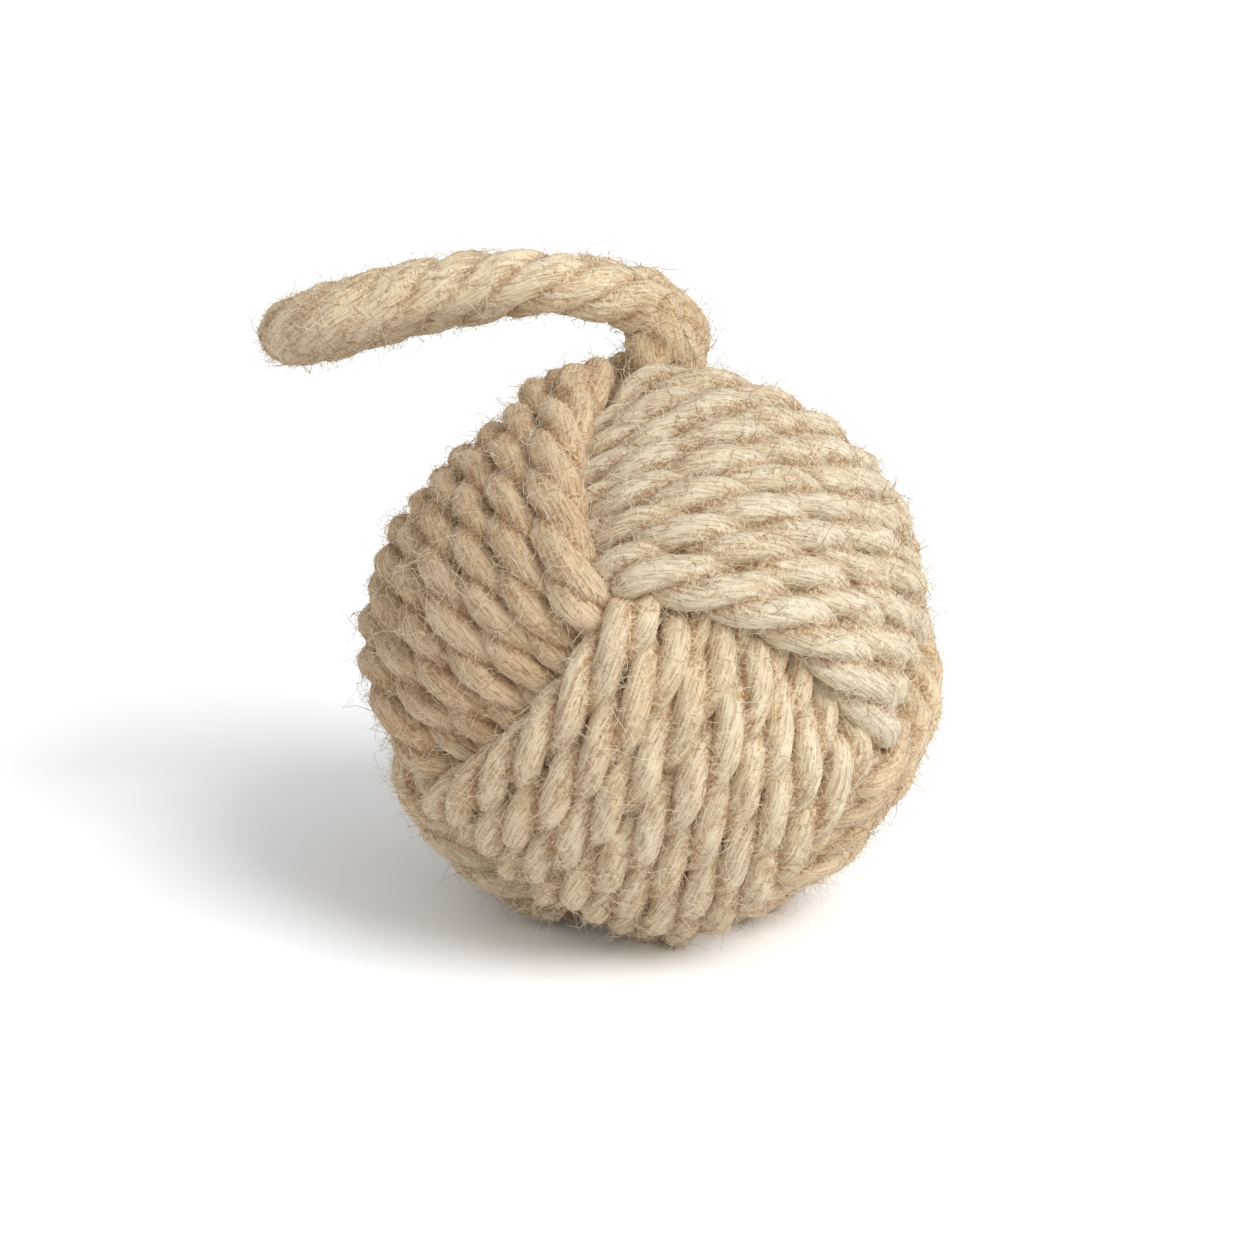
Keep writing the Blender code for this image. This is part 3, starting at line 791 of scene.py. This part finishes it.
def close_corners(points, radii):
    """Draw the turns together over the small hole at each corner of the knot."""
    offsets = np.linspace(-CORNER_SEARCH, CORNER_SEARCH, CORNER_SPOTS)
    spots = np.array([[x, y] for x in offsets for y in offsets])
    for signs in np.ndindex(2, 2, 2):
        corner = sum(axis * (1 - 2 * sign) for axis, sign in zip(KNOT_AXES, signs)) / math.sqrt(3)
        aside = np.cross(corner, KNOT_AXES[0])
        aside /= np.linalg.norm(aside)
        beside = np.cross(corner, aside)
        tried = corner + (spots[:, :1] * aside + spots[:, 1:] * beside) / OUTER_RADIUS
        tried *= OUTER_RADIUS / norms(tried)[:, None]
        tried += np.array(BALL_MIDDLE)
        clear = [(norms(points - spot) - radii).min() for spot in tried]
        step = tried[np.argmax(clear)] - points
        away = norms(step)
        pull = np.interp(away, (CORNER_NEAR, CORNER_FAR), (1.0, 0.0))
        points = points + step * (ease(pull, CORNER_DRAW) / away)[:, None]
    return points


def raise_foot(points):
    """Lift the turns beside the handle's foot, which the leaving rope holds up."""
    out = points - np.array(BALL_MIDDLE)
    away = norms(out)
    out /= away[:, None]
    foot = np.array(FOOT_MIDDLE) / np.linalg.norm(FOOT_MIDDLE)
    aside = norms(out - foot) * OUTER_RADIUS
    near = np.interp(aside, FOOT_WIDTH, (1.0, 0.0))
    low = np.interp(away - OUTER_RADIUS, FOOT_RISE, (1.0, 0.0))
    return points + out * (ease(near, FOOT_LIFT) * low)[:, None]


def steady_facing(points):
    """A direction across the rope at each ring that never spins round it by itself."""
    heading = np.gradient(points, axis=0)
    heading /= norms(heading)[:, None]
    facing = np.zeros_like(points)
    facing[0] = np.cross(heading[0], (0.0, 0.0, 1.0))
    for place in range(len(points)):
        across = facing[max(place - 1, 0)]
        across = across - heading[place] * (across @ heading[place])
        facing[place] = across / np.linalg.norm(across)
    return facing


rope = whole_rope()
rope["points"] = raise_foot(close_corners(rope["points"], rope["rope_radius"]))
rope["facing"] = steady_facing(rope["points"])
print("the rope is", round(float(rope["along"][-1]), 2), "m long and has",
      len(rope["along"]), "rings")

# %% [markdown]
# ## Three strands, twisted by a rule
#
# A rope is a good case for Geometry Nodes, because its shape follows one rule: the same
# section is carried along a path and turned a little at each step. The tree below makes a
# section with three lobes from a circle, turns it once in every lay length, and sweeps it.
# It also stores where each point lies in the rope, so that the material can run its fibres
# along the strands however the rope bends.

# %% The rope tree
STRAND_SIZE = 0.545             # radius of a strand's rounding, as a share of the rope's
STRAND_OUT = 0.455              # how far the middle of a strand lies from the rope's middle
FIBRE_TWIST = 0.30              # how far the fibres follow their strand round the rope
RING_POINTS = 42
MATTED_SIZE = 1.02              # radius of a matted rope, as a share of its strands' reach
YARN_RELIEF = (0.16, 620.0, 2.0)  # noise: share of its scale along the rope, scale, detail
LUMP_RELIEF = (0.70, 170.0, 1.0)


def start_tree(name, inputs):
    """A geometry tree with named inputs, and a dictionary of their values inside it."""
    tree = bpy.data.node_groups.new(name, "GeometryNodeTree")
    tree.interface.new_socket("Geometry", in_out="INPUT", socket_type="NodeSocketGeometry")
    for label, kind in inputs:
        tree.interface.new_socket(label, in_out="INPUT", socket_type="NodeSocket" + kind)
    tree.interface.new_socket("Geometry", in_out="OUTPUT", socket_type="NodeSocketGeometry")
    graph = Graph(tree)
    entry = graph.add("NodeGroupInput")
    values = {socket.name: Value(graph, socket) for socket in entry.socket.node.outputs[:-1]}
    return graph, values


def end_tree(graph, geometry, values):
    """Close a geometry tree: real faces, smooth, with their material."""
    real = graph.add("GeometryNodeRealizeInstances", None, {0: geometry})
    soft = graph.add("GeometryNodeSetShadeSmooth", None, {0: real})
    done = graph.add("GeometryNodeSetMaterial", None, {0: soft, "Material": values["Material"]})
    graph.add("NodeGroupOutput", None, {0: done})


def rope_tree():
    """A tree that turns a path into a rope of twisted strands."""
    graph, given = start_tree("twisted_rope", (
        ("Strands", "Float"), ("Strand size", "Float"),
        ("Strand out", "Float"), ("Points round", "Int"), ("Yarn relief", "Float"),
        ("Unevenness", "Float"), ("Matting", "Float"), ("Material", "Material"),
    ))
    path = graph.add("GeometryNodeMeshToCurve", None, {0: given["Geometry"]})
    path = graph.add("GeometryNodeSetCurveNormal", {"mode": "FREE"},
                     {"Curve": path, "Normal": graph.read("facing", "FLOAT_VECTOR")})
    path = graph.store(path, "core", graph.position())
    along = graph.read("along")
    tilt = graph.read("laid") * -math.tau
    path = graph.add("GeometryNodeSetCurveTilt", None, {"Curve": path, "Tilt": tilt})

    factor = graph.add("GeometryNodeSplineParameter")
    share = graph.math("FRACT", factor * given["Strands"]) - 0.5
    angle = share * math.tau / given["Strands"]
    off = given["Strand out"] * graph.math("SINE", angle)
    reach = (given["Strand out"] * graph.math("COSINE", angle)
             + graph.math("SQRT", given["Strand size"] ** 2.0 - off * off))
    lobes = graph.scaled(graph.position(), reach)
    section = graph.move(graph.circle(given["Points round"]), "Position", lobes)
    section = graph.store(section, "round", factor * math.tau)
    section = graph.store(section, "crest", 1.0 - graph.math("ABSOLUTE", share) * 2.0)

    radius = graph.read("rope_radius")
    swept = graph.add("GeometryNodeCurveToMesh", None,
                      {"Curve": path, "Profile Curve": section, "Scale": radius,
                       "Fill Caps": True})
    core = graph.read("core", "FLOAT_VECTOR")
    outward = graph.vector("NORMALIZE", graph.vector("SUBTRACT", graph.position(), core))
    matted = graph.vector("MULTIPLY_ADD", outward, radius * MATTED_SIZE, core)
    filled = graph.add("ShaderNodeMix", {"data_type": "VECTOR"},
                       {"Factor_Float": graph.read("felt") * given["Matting"],
                        "A_Vector": graph.position(), "B_Vector": matted}, "Result_Vector")
    swept = graph.move(swept, "Position", filled)
    turn = graph.read("round")
    places = []
    for name, turned in (("rope_space", turn + tilt * (1.0 - FIBRE_TWIST)),
                         ("strand_space", turn)):
        places.append(graph.combine(graph.math("COSINE", turned) * radius,
                                    graph.math("SINE", turned) * radius, along))
        swept = graph.store(swept, name, places[-1])
    yarns = graph.drawn_out(places[0], *YARN_RELIEF) - 0.5
    lumps = graph.drawn_out(places[1], *LUMP_RELIEF) - 0.5
    swell = yarns * given["Yarn relief"] + lumps * given["Unevenness"]
    lift = graph.scaled(graph.add("GeometryNodeInputNormal"), swell)
    swept = graph.off_floor(graph.move(swept, "Offset", lift), 0.0)
    end_tree(graph, swept, given)
    return graph.tree


rope_nodes = rope_tree()
print("the rope tree has", len(rope_nodes.nodes), "nodes")

# %% [markdown]
# ## Jute
#
# Jute is a dry, matt fibre the colour of straw, browner where it is not bleached. Close up a
# strand is a bundle of fine fibres, nearly in line with the rope, each a little lighter or
# darker than the next, and the grooves between strands are deep brown with fluff in them; the
# material darkens them further with painted shade. The material reads the place in the rope
# that the tree has stored. Noise that is drawn out along the rope makes the fibres, slower
# noise makes the patches, and thin lines of noise make the hairs that lie across. Each stretch
# of rope has its own tone, kept on the mesh, which also carries painted shade and light.

# %% Jute material
SWAY = (260.0, 0.0004)          # how finely and how far the fibres sway to the sides
FIBRES = (0.10, 3200.0, 2.0, 0.55)  # noise: share of its scale along the rope, scale, detail
GAPS = (0.08, 2300.0, 1.0)
YARNS = (0.10, 900.0, 1.0)
PATCHES = (0.30, 120.0, 2.0)
STRAW = (                       # colours of the strands, from their brownest to their palest
    (0.40, (0.54, 0.36, 0.195)), (0.52, (0.72, 0.55, 0.355)),
    (0.64, (0.79, 0.65, 0.455)), (0.78, (0.84, 0.72, 0.540)),
)
GROOVE_FLUFF_AND_SHADE = (                       # and of the fluff in the grooves, with painted shade there
    (0.38, (0.26, 0.13, 0.055)), (0.50, (0.44, 0.25, 0.115)), (0.62, (0.70, 0.50, 0.30)),
)
GAP_BROWN = (0.36, 0.205, 0.095)
LYING_FIBRES = (                # shift of the noise, its scale, width of the lines, colour
    (0.0, 260.0, 0.016, (0.57, 0.38, 0.21)),
    (3.0, 420.0, 0.050, (0.90, 0.77, 0.56)),
    (7.0, 640.0, 0.060, (0.90, 0.77, 0.56)),
)


def start_material(name, roughness):
    """A material with an empty surface, its graph and its surface node."""
    made = bpy.data.materials.new(name)
    made.use_nodes = True
    graph = Graph(made.node_tree)
    surface = made.node_tree.nodes["Principled BSDF"]
    surface.inputs["Roughness"].default_value = roughness
    surface.inputs["Specular IOR Level"].default_value = 0.25
    return made, graph, surface


def plug(graph, surface, **values):
    """Link values to the sockets of the surface."""
    for name, value in values.items():
        graph.tree.links.new(value.socket, surface.inputs[name.replace("_", " ")])


def jute_material():
    """Dry jute, with fibres along the rope and dark grooves between its strands."""
    made, graph, surface = start_material("jute_fibres", 0.9)
    surface.inputs["Sheen Weight"].default_value = 0.12
    surface.inputs["Sheen Roughness"].default_value = 0.6
    strand = graph.stored("strand_space", "Vector")
    spread = graph.add("ShaderNodeTexCoord", None, None, "Object")
    place = graph.vector("MULTIPLY_ADD", graph.sway(strand, SWAY[0]), (SWAY[1], SWAY[1], 0.0),
                         graph.stored("rope_space", "Vector"))
    fibres = graph.drawn_out(place, *FIBRES)
    yarns = graph.drawn_out(place, *YARNS)
    patches = graph.drawn_out(strand, *PATCHES)
    tone = fibres * 0.55 + yarns * 0.35 + patches * 0.55 - 0.10
    between = graph.rescale(graph.drawn_out(place, *GAPS), 0.54, 0.62)
    colour = graph.blend_colours(between * 0.5, graph.ramp(tone, *STRAW), GAP_BROWN)
    # Painted shade: the grooves between strands turn towards dark fluff colours, for fluff and for
    # the shade in them.
    ridge = graph.stored("crest") + (yarns - 0.5) * 0.9
    groove_fluff_and_shade = graph.rescale(ridge, 0.02, 0.46, 1.0, 0.0) * (1.0 - graph.stored("felt") * 0.5)
    fluff_and_shade = graph.ramp(graph.noise(spread, 1500.0, 2.0, 0.6), *GROOVE_FLUFF_AND_SHADE)
    colour = graph.blend_colours(groove_fluff_and_shade * 0.88, colour, fluff_and_shade)
    for shift, size, width, shade in LYING_FIBRES:
        spot = graph.vector("ADD", spread, (shift,) * 3)
        line = graph.math("ABSOLUTE", graph.noise(spot, size, 0.0) - 0.5)
        broken = graph.rescale(graph.noise(spot, size * 0.6, 1.0), 0.47, 0.55)
        hair = graph.rescale(line, 0.0, width, 1.0, 0.0) * broken
        colour = graph.blend_colours(hair * 0.8, colour, shade)
    # The tone kept on the mesh, which also carries painted shade and light, multiplies the colour.
    colour = graph.blend_colours(1.0, colour, graph.stored("tone", "Color"), "MULTIPLY")
    rough = graph.rescale(fibres, 0.3, 0.7, 0.95, 0.78)
    relief = fibres * 0.6 + yarns * 0.7 - between * 0.35
    plug(graph, surface, Base_Color=colour, Roughness=rough,
         Normal=graph.bump(relief, 0.7, 0.0004))
    return made


jute = jute_material()
print("jute has", len(jute.node_tree.nodes), "nodes")

# %% Rope pieces


def grow(name, source, tree, inputs):
    """Run a geometry tree on a mesh and keep the result as a plain mesh object."""
    carrier = add_object(name + "_carrier", source)
    modifier = carrier.modifiers.new("tree", "NODES")
    modifier.node_group = tree
    for item in tree.interface.items_tree:
        if item.item_type == "SOCKET" and item.in_out == "INPUT" and item.name in inputs:
            modifier[item.identifier] = inputs[item.name]
    return make_plain(carrier, name)


def make_plain(carrier, name):
    """Replace an object with modifiers by a plain mesh object of the same shape."""
    bpy.context.view_layer.update()
    ready = carrier.evaluated_get(bpy.context.evaluated_depsgraph_get())
    mesh = bpy.data.meshes.new_from_object(ready)
    bpy.data.objects.remove(carrier)
    mesh.name = name
    print(name, len(mesh.polygons), "faces")
    return add_object(name, mesh)


def path_mesh(name, values, first, last):
    """A line of points with what the rope tree needs to know at each."""
    mesh = bpy.data.meshes.new(name)
    points = values["points"][first:last]
    mesh.from_pydata(points.tolist(), rope_runs(len(points)).tolist(), [])
    for label in ("facing", "along", "laid", "rope_radius", "felt", "tone"):
        part = values[label][first:last]
        kind, field = ("FLOAT", "value") if part.ndim == 1 else ("FLOAT_VECTOR", "vector")
        mesh.attributes.new(label, kind, "POINT").data.foreach_set(field, part.ravel())
    return mesh


def lay_rope():
    """The whole rope as one object for each piece."""
    made = []
    for number, name in enumerate(PIECE_NAMES):
        rings = np.nonzero(rope["piece"] == number)[0]
        last = min(rings[-1] + 2, len(rope["piece"]))
        source = path_mesh(name, rope, rings[0], last)
        made.append(grow(name, source, rope_nodes, {
            "Strands": 3.0, "Strand size": STRAND_SIZE, "Strand out": STRAND_OUT,
            "Points round": RING_POINTS, "Yarn relief": 0.0012, "Unevenness": 0.0014,
            "Matting": 0.8, "Material": jute,
        }))
    return made


handle_rope, first_winding, second_winding, third_winding = lay_rope()

# %% [markdown]
# ## Loose fibres
#
# Jute sheds. Short fibres work out of the strands, most of them lie across the rope and cling
# to it, and some stand out as a fuzzy edge. Their number and direction follow a rule with
# chance in it, so a second tree scatters a straight line of a few points over the rope, tips it
# over, lets noise bend it more and more towards its end, and gives it a thin tapered skin.

# %% The fibre tree
APART = 9.0                     # up to this far off in the noise, so that no two fibres match
FIBRE_LIFT = 0.0001             # the lowest a fibre may lie over the floor


def fibre_tree():
    """A tree that scatters thin curved fibres over the outside of the knot."""
    graph, given = start_tree("loose_fibres", (
        ("Density", "Float"), ("Shortest", "Float"), ("Longest", "Float"),
        ("Thickness", "Float"), ("Rise", "Float"), ("Curl", "Float"), ("Curl size", "Float"),
        ("Middle", "Vector"), ("Bare below", "Float"), ("Full above", "Float"),
        ("Brown share", "Float"), ("Points", "Int"), ("Seed", "Int"),
        ("Material", "Material"), ("Brown material", "Material"),
    ))

    def chance(number, kind="FLOAT", low=0.0, high=1.0):
        """A random value for each fibre."""
        ends = ("Min_001", "Max_001") if kind == "FLOAT" else ("Min", "Max")
        return graph.add("FunctionNodeRandomValue", {"data_type": kind},
                         {ends[0]: low, ends[1]: high, "Seed": given["Seed"] + number},
                         "Value_001" if kind == "FLOAT" else "Value")

    out = graph.vector("DISTANCE", graph.position(), given["Middle"], out="Value")
    open_air = graph.rescale(out, given["Bare below"], given["Full above"])
    spots = graph.add("GeometryNodeDistributePointsOnFaces", {"distribute_method": "RANDOM"},
                      {"Mesh": given["Geometry"], "Seed": given["Seed"],
                       "Density": given["Density"] * open_air * (1.0 + graph.read("felt"))},
                      "Points")
    normal = spots.other("Normal")
    anywhere = chance(1, "FLOAT_VECTOR", (-1.0, -1.0, -1.0), (1.0, 1.0, 1.0))
    aside = graph.vector("NORMALIZE", graph.vector("CROSS_PRODUCT", anywhere, normal))
    rise = chance(2) ** 2.0 * given["Rise"]
    heading = graph.vector("MULTIPLY_ADD", normal, rise, aside)
    turn = graph.add("FunctionNodeAlignRotationToVector", {"axis": "Z"}, {"Vector": heading})
    reach = given["Shortest"] + (given["Longest"] - given["Shortest"]) * chance(3) ** 2.5
    line = graph.add("GeometryNodeCurvePrimitiveLine", None, {"End": (0.0, 0.0, 1.0)})
    line = graph.add("GeometryNodeResampleCurve", None, {"Curve": line, "Count": given["Points"]})
    fibres = graph.add("GeometryNodeInstanceOnPoints", None,
                       {"Points": spots, "Instance": line, "Rotation": turn, "Scale": reach})
    whorl = chance(4, "FLOAT_VECTOR", (-APART,) * 3, (APART,) * 3)
    fibres = graph.store(fibres, "whorl", whorl, "INSTANCE")
    # Fibres in the grooves are brown more often, which darkens the grooves: brown fluff there and
    # painted shade.
    shade = chance(5) + (graph.read("crest") - 0.5) * 0.5
    fibres = graph.store(fibres, "shade", shade, "INSTANCE")
    fibres = graph.add("GeometryNodeRealizeInstances", None, {0: fibres})

    along = graph.add("GeometryNodeSplineParameter")
    whorl = graph.vector("ADD", graph.position(), graph.read("whorl", "FLOAT_VECTOR"))
    wander = graph.sway(whorl, 1.0 / given["Curl size"])
    bent = graph.vector("MULTIPLY", wander, along * given["Curl"])
    fibres = graph.off_floor(graph.move(fibres, "Offset", bent), FIBRE_LIFT)
    fibres = graph.add("GeometryNodeCurveToMesh", None,
                       {"Curve": fibres, "Profile Curve": graph.circle(3), "Fill Caps": True,
                        "Scale": given["Thickness"] * (1.0 - 0.7 * along)})
    pale = graph.add("GeometryNodeSetMaterial", None,
                     {"Geometry": fibres, "Material": given["Material"]})
    brown = graph.add("FunctionNodeCompare", {"data_type": "FLOAT", "operation": "LESS_THAN"},
                      {0: graph.read("shade"), 1: given["Brown share"]})
    both = graph.add("GeometryNodeSetMaterial", None,
                     {"Geometry": pale, "Selection": brown, "Material": given["Brown material"]})
    graph.add("NodeGroupOutput", None, {0: both})
    return graph.tree


fibre_nodes = fibre_tree()
print("the fibre tree has", len(fibre_nodes.nodes), "nodes")

# %% Fibres on each piece
BARE_DEPTH = 0.007              # under the outer turns, from where on no fibre shows
FULL_DEPTH = 0.001              # and down to where the fibres stand as dense as on top


def plain_material(name, colour, roughness):
    """One colour all over."""
    made, _, surface = start_material(name, roughness)
    surface.inputs["Base Color"].default_value = (*colour, 1.0)
    return made


pale_fibre = plain_material("pale_fibre", (0.94, 0.82, 0.63), 0.8)
brown_fibre = plain_material("brown_fibre", (0.46, 0.28, 0.135), 0.8)


def add_fibres(piece, name, seed, habit):
    """Loose fibres over one piece of rope."""
    return grow(name, piece.data, fibre_nodes, {
        **habit, "Middle": BALL_MIDDLE, "Seed": seed,
        "Bare below": OUTER_RADIUS - BARE_DEPTH, "Full above": OUTER_RADIUS - FULL_DEPTH,
        "Material": pale_fibre, "Brown material": brown_fibre,
    })


DOWN = {"Density": 580000.0, "Shortest": 0.0008, "Longest": 0.0030, "Thickness": 0.00006,
        "Rise": 0.35, "Curl": 0.004, "Curl size": 0.0022, "Brown share": 0.32, "Points": 2}
STRAYS = {"Density": 150000.0, "Shortest": 0.0025, "Longest": 0.0105, "Thickness": 0.00008,
          "Rise": 0.28, "Curl": 0.015, "Curl size": 0.0036, "Brown share": 0.36, "Points": 6}
FUZZ = (0.96, 1.16, 1.06, 0.85)    # share of those densities on each piece
fibre_pieces = []
for number, piece in enumerate((first_winding, second_winding, third_winding, handle_rope)):
    for word, habit in (("down", DOWN), ("strays", STRAYS)):
        habit = {**habit, "Density": habit["Density"] * FUZZ[number]}
        name = PIECE_NAMES[(number + 1) % 4].split("_")[0] + "_" + word
        fibre_pieces.append(add_fibres(piece, name, 10 * number + len(word), habit))

# %% [markdown]
# ## The bag of sand inside
#
# Nobody sees the core of the knot, but it gives the doorstop its weight. It is a round calico
# bag, gathered at its neck and tied with twine. The bag is a turned shell, and waves that grow
# towards the neck make its pleats. Its weave is a pattern in the material, run along the cloth
# by two lengths that are kept on the mesh. The twine is two turns of the rope tree again, with
# its own sizes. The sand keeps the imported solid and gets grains.

# %% Bag
BAG_WALL = 0.0009
NECK_RADIUS = 0.0045 + BAG_WALL
NECK_TOP = math.sqrt(BAG_RADIUS ** 2 - NECK_RADIUS ** 2)
SHOULDER = NECK_TOP - 0.0036
BAG_COLUMNS = 144
BAG_ROWS = 40
PLEATS = 18
PLEAT_DEPTH = 0.0007
PLEAT_SHIFT = 1.3               # how unevenly the pleats stand round the neck
PLEATS_OUT = 0.017              # pleats nearer the middle than this go up and down only
GATHER_STEPS = 8                # rows between the bag's round and its neck
GATHER_SAG = 0.0004
NECK_ROWS = (0.3, 0.6, 0.9, 1.0)
CLOTH_SHARE = 0.6               # of the bag's wall that the cloth is thick
THREAD_SPACING = 0.0007
CALICO = ((0.2, (0.56, 0.48, 0.35)), (0.8, (0.80, 0.74, 0.61)))
HUSK_BROWN = (0.30, 0.19, 0.10)


def bag_profile():
    """Radius, height and strength of the pleats, from the bottom of the bag to its lip."""
    lift = math.asin(SHOULDER / BAG_RADIUS)
    rows = []
    for step in range(1, BAG_ROWS + 1):
        share = step / BAG_ROWS
        angle = -math.pi / 2 + (lift + math.pi / 2) * share
        rows.append((BAG_RADIUS * math.cos(angle), BAG_RADIUS * math.sin(angle), share ** 6))
    edge = rows[-1][0]
    for step in range(1, GATHER_STEPS + 1):
        share = step / GATHER_STEPS
        radius = edge + (NECK_RADIUS - edge) * share
        level = SHOULDER - GATHER_SAG * math.sin(math.pi * share)
        rows.append((radius, level, 1.0 - 0.5 * share))
    for share in NECK_ROWS:
        rows.append((NECK_RADIUS, SHOULDER + (NECK_TOP - SHOULDER) * share, 0.5))
    return rows


def cloth_bag(cloth):
    """The bag: one layer of cloth with pleats, given its thickness."""
    rows = bag_profile()
    middle = np.array(BALL_MIDDLE)
    corners = [middle - (0.0, 0.0, BAG_RADIUS)]
    lengths = [(0.0, 0.0, 0.0)]
    run = 0.0
    before = (0.0, -BAG_RADIUS)
    for radius, height, pleat in rows:
        run += math.hypot(radius - before[0], height - before[1])
        before = (radius, height)
        for column in range(BAG_COLUMNS):
            angle = math.tau * column / BAG_COLUMNS
            wave = math.cos(PLEATS * angle + PLEAT_SHIFT * math.sin(3 * angle)) - 1.0
            fold = PLEAT_DEPTH * pleat * wave
            reach = radius + (fold if height > SHOULDER or radius > PLEATS_OUT else 0.0)
            level = height + (0.0 if height > SHOULDER else fold)
            corners.append(middle + (reach * math.cos(angle), reach * math.sin(angle), level))
            lengths.append((BAG_RADIUS * angle, run, 0.0))
    faces = []
    for column in range(BAG_COLUMNS):
        after = (column + 1) % BAG_COLUMNS
        faces.append((0, 1 + after, 1 + column))
        for row in range(len(rows) - 1):
            low = 1 + row * BAG_COLUMNS
            faces.append((low + column, low + after, low + BAG_COLUMNS + after,
                          low + BAG_COLUMNS + column))
    mesh = bpy.data.meshes.new("calico_bag")
    mesh.from_pydata([tuple(corner) for corner in corners], [], faces)
    mesh.attributes.new("cloth", "FLOAT_VECTOR", "POINT").data.foreach_set(
        "vector", np.array(lengths).ravel())
    mesh.materials.append(cloth)
    mesh.shade_smooth()
    carrier = add_object("calico_bag_carrier", mesh)
    wall = carrier.modifiers.new("wall", "SOLIDIFY")
    wall.thickness = BAG_WALL * CLOTH_SHARE
    wall.offset = -1.0
    return make_plain(carrier, "calico_bag")


def calico_material():
    """Unbleached cotton in plain weave, with darker specks of husk."""
    made, graph, surface = start_material("calico", 0.95)
    place = graph.stored("cloth", "Vector")
    across = graph.add("ShaderNodeSeparateXYZ", None, {0: place}, "X")
    threads = math.tau / THREAD_SPACING
    weave = graph.math("SINE", across * threads) * graph.math("SINE", across.other("Y") * threads)
    specks = graph.rescale(graph.noise(place, 900.0, 1.0), 0.68, 0.74)
    tone = weave * 0.25 + graph.noise(place, 260.0, 2.0) * 0.5 + 0.25
    colour = graph.ramp(tone, *CALICO)
    colour = graph.blend_colours(specks * 0.6, colour, HUSK_BROWN)
    plug(graph, surface, Base_Color=colour, Normal=graph.bump(weave, 0.5, 0.0002))
    return made


calico_bag = cloth_bag(calico_material())

# %% Twine and sand
TWINE_RADIUS = 0.0008
TWINE_TURNS = 2.1
TWINE_LAY = 0.0052
TWINE_RINGS = 190
GRAINS = ((0.35, (0.27, 0.19, 0.11)), (0.5, (0.55, 0.43, 0.28)), (0.65, (0.78, 0.68, 0.50)))


def wind_twine():
    """Two turns of twine round the bag's neck."""
    turns = np.linspace(0.0, TWINE_TURNS, TWINE_RINGS)
    reach = NECK_RADIUS + TWINE_RADIUS
    angles = math.tau * turns
    heights = SHOULDER + TWINE_RADIUS * (1.1 + 1.8 * turns / TWINE_TURNS)
    points = np.column_stack([reach * np.cos(angles), reach * np.sin(angles), heights])
    points += np.array(BALL_MIDDLE)
    values = {
        "points": points, "rope_radius": np.full(TWINE_RINGS, TWINE_RADIUS),
        "felt": np.zeros(TWINE_RINGS), "tone": np.tile(PIECE_TONES_AND_SHADE[1], (TWINE_RINGS, 1)),
        "along": angles * reach, "laid": angles * reach / TWINE_LAY,
        "facing": steady_facing(points),
    }
    return grow("neck_twine", path_mesh("neck_twine", values, 0, TWINE_RINGS), rope_nodes, {
        "Strands": 2.0, "Strand size": 0.62, "Strand out": 0.38,
        "Points round": 24, "Yarn relief": 0.0001, "Unevenness": 0.0001, "Matting": 0.0,
        "Material": jute,
    })


def sand_material():
    """Dry sand: pale and dark grains."""
    made, graph, surface = start_material("sand_grains", 1.0)
    place = graph.add("ShaderNodeTexCoord", None, None, "Object")
    grains = graph.noise(place, 2600.0, 1.0)
    plug(graph, surface, Base_Color=graph.ramp(grains, *GRAINS),
         Normal=graph.bump(grains, 0.6, 0.0003))
    return made


neck_twine = wind_twine()
sand = sand_material()
for piece in bpy.data.objects:
    if piece.name.startswith("sand_fill"):
        piece.data.materials.clear()
        piece.data.materials.append(sand)
        print(piece.name, "has its grains")

# %% [markdown]
# ## Putting the pieces on their bodies
#
# The windings, the bag, its twine and their fibres ride on the ball. The handle's rope
# crosses the hinge; it and its fibres are put on no body and keep their place.


def place_pieces():
    """Hide the nodes the pieces stand in for, put the ball's pieces on the ball and bake the
    handle's pieces where they lie.
    """
    for piece, node, slot in (
        (first_winding, "first_turns", "jute_rope"), (second_winding, "second_turns", "jute_rope"),
        (third_winding, "third_turns", "jute_rope"), (calico_bag, "sand_bag", "calico"),
        (neck_twine, "bag_tie", "twine"),
    ):
        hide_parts(node)
        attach(piece, "ball")
    for piece in fibre_pieces[:-2]:
        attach(piece, "ball")
    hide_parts("handle_loop", "tucked_end")
    for piece in (handle_rope, *fibre_pieces[-2:]):
        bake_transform(piece)


place_pieces()
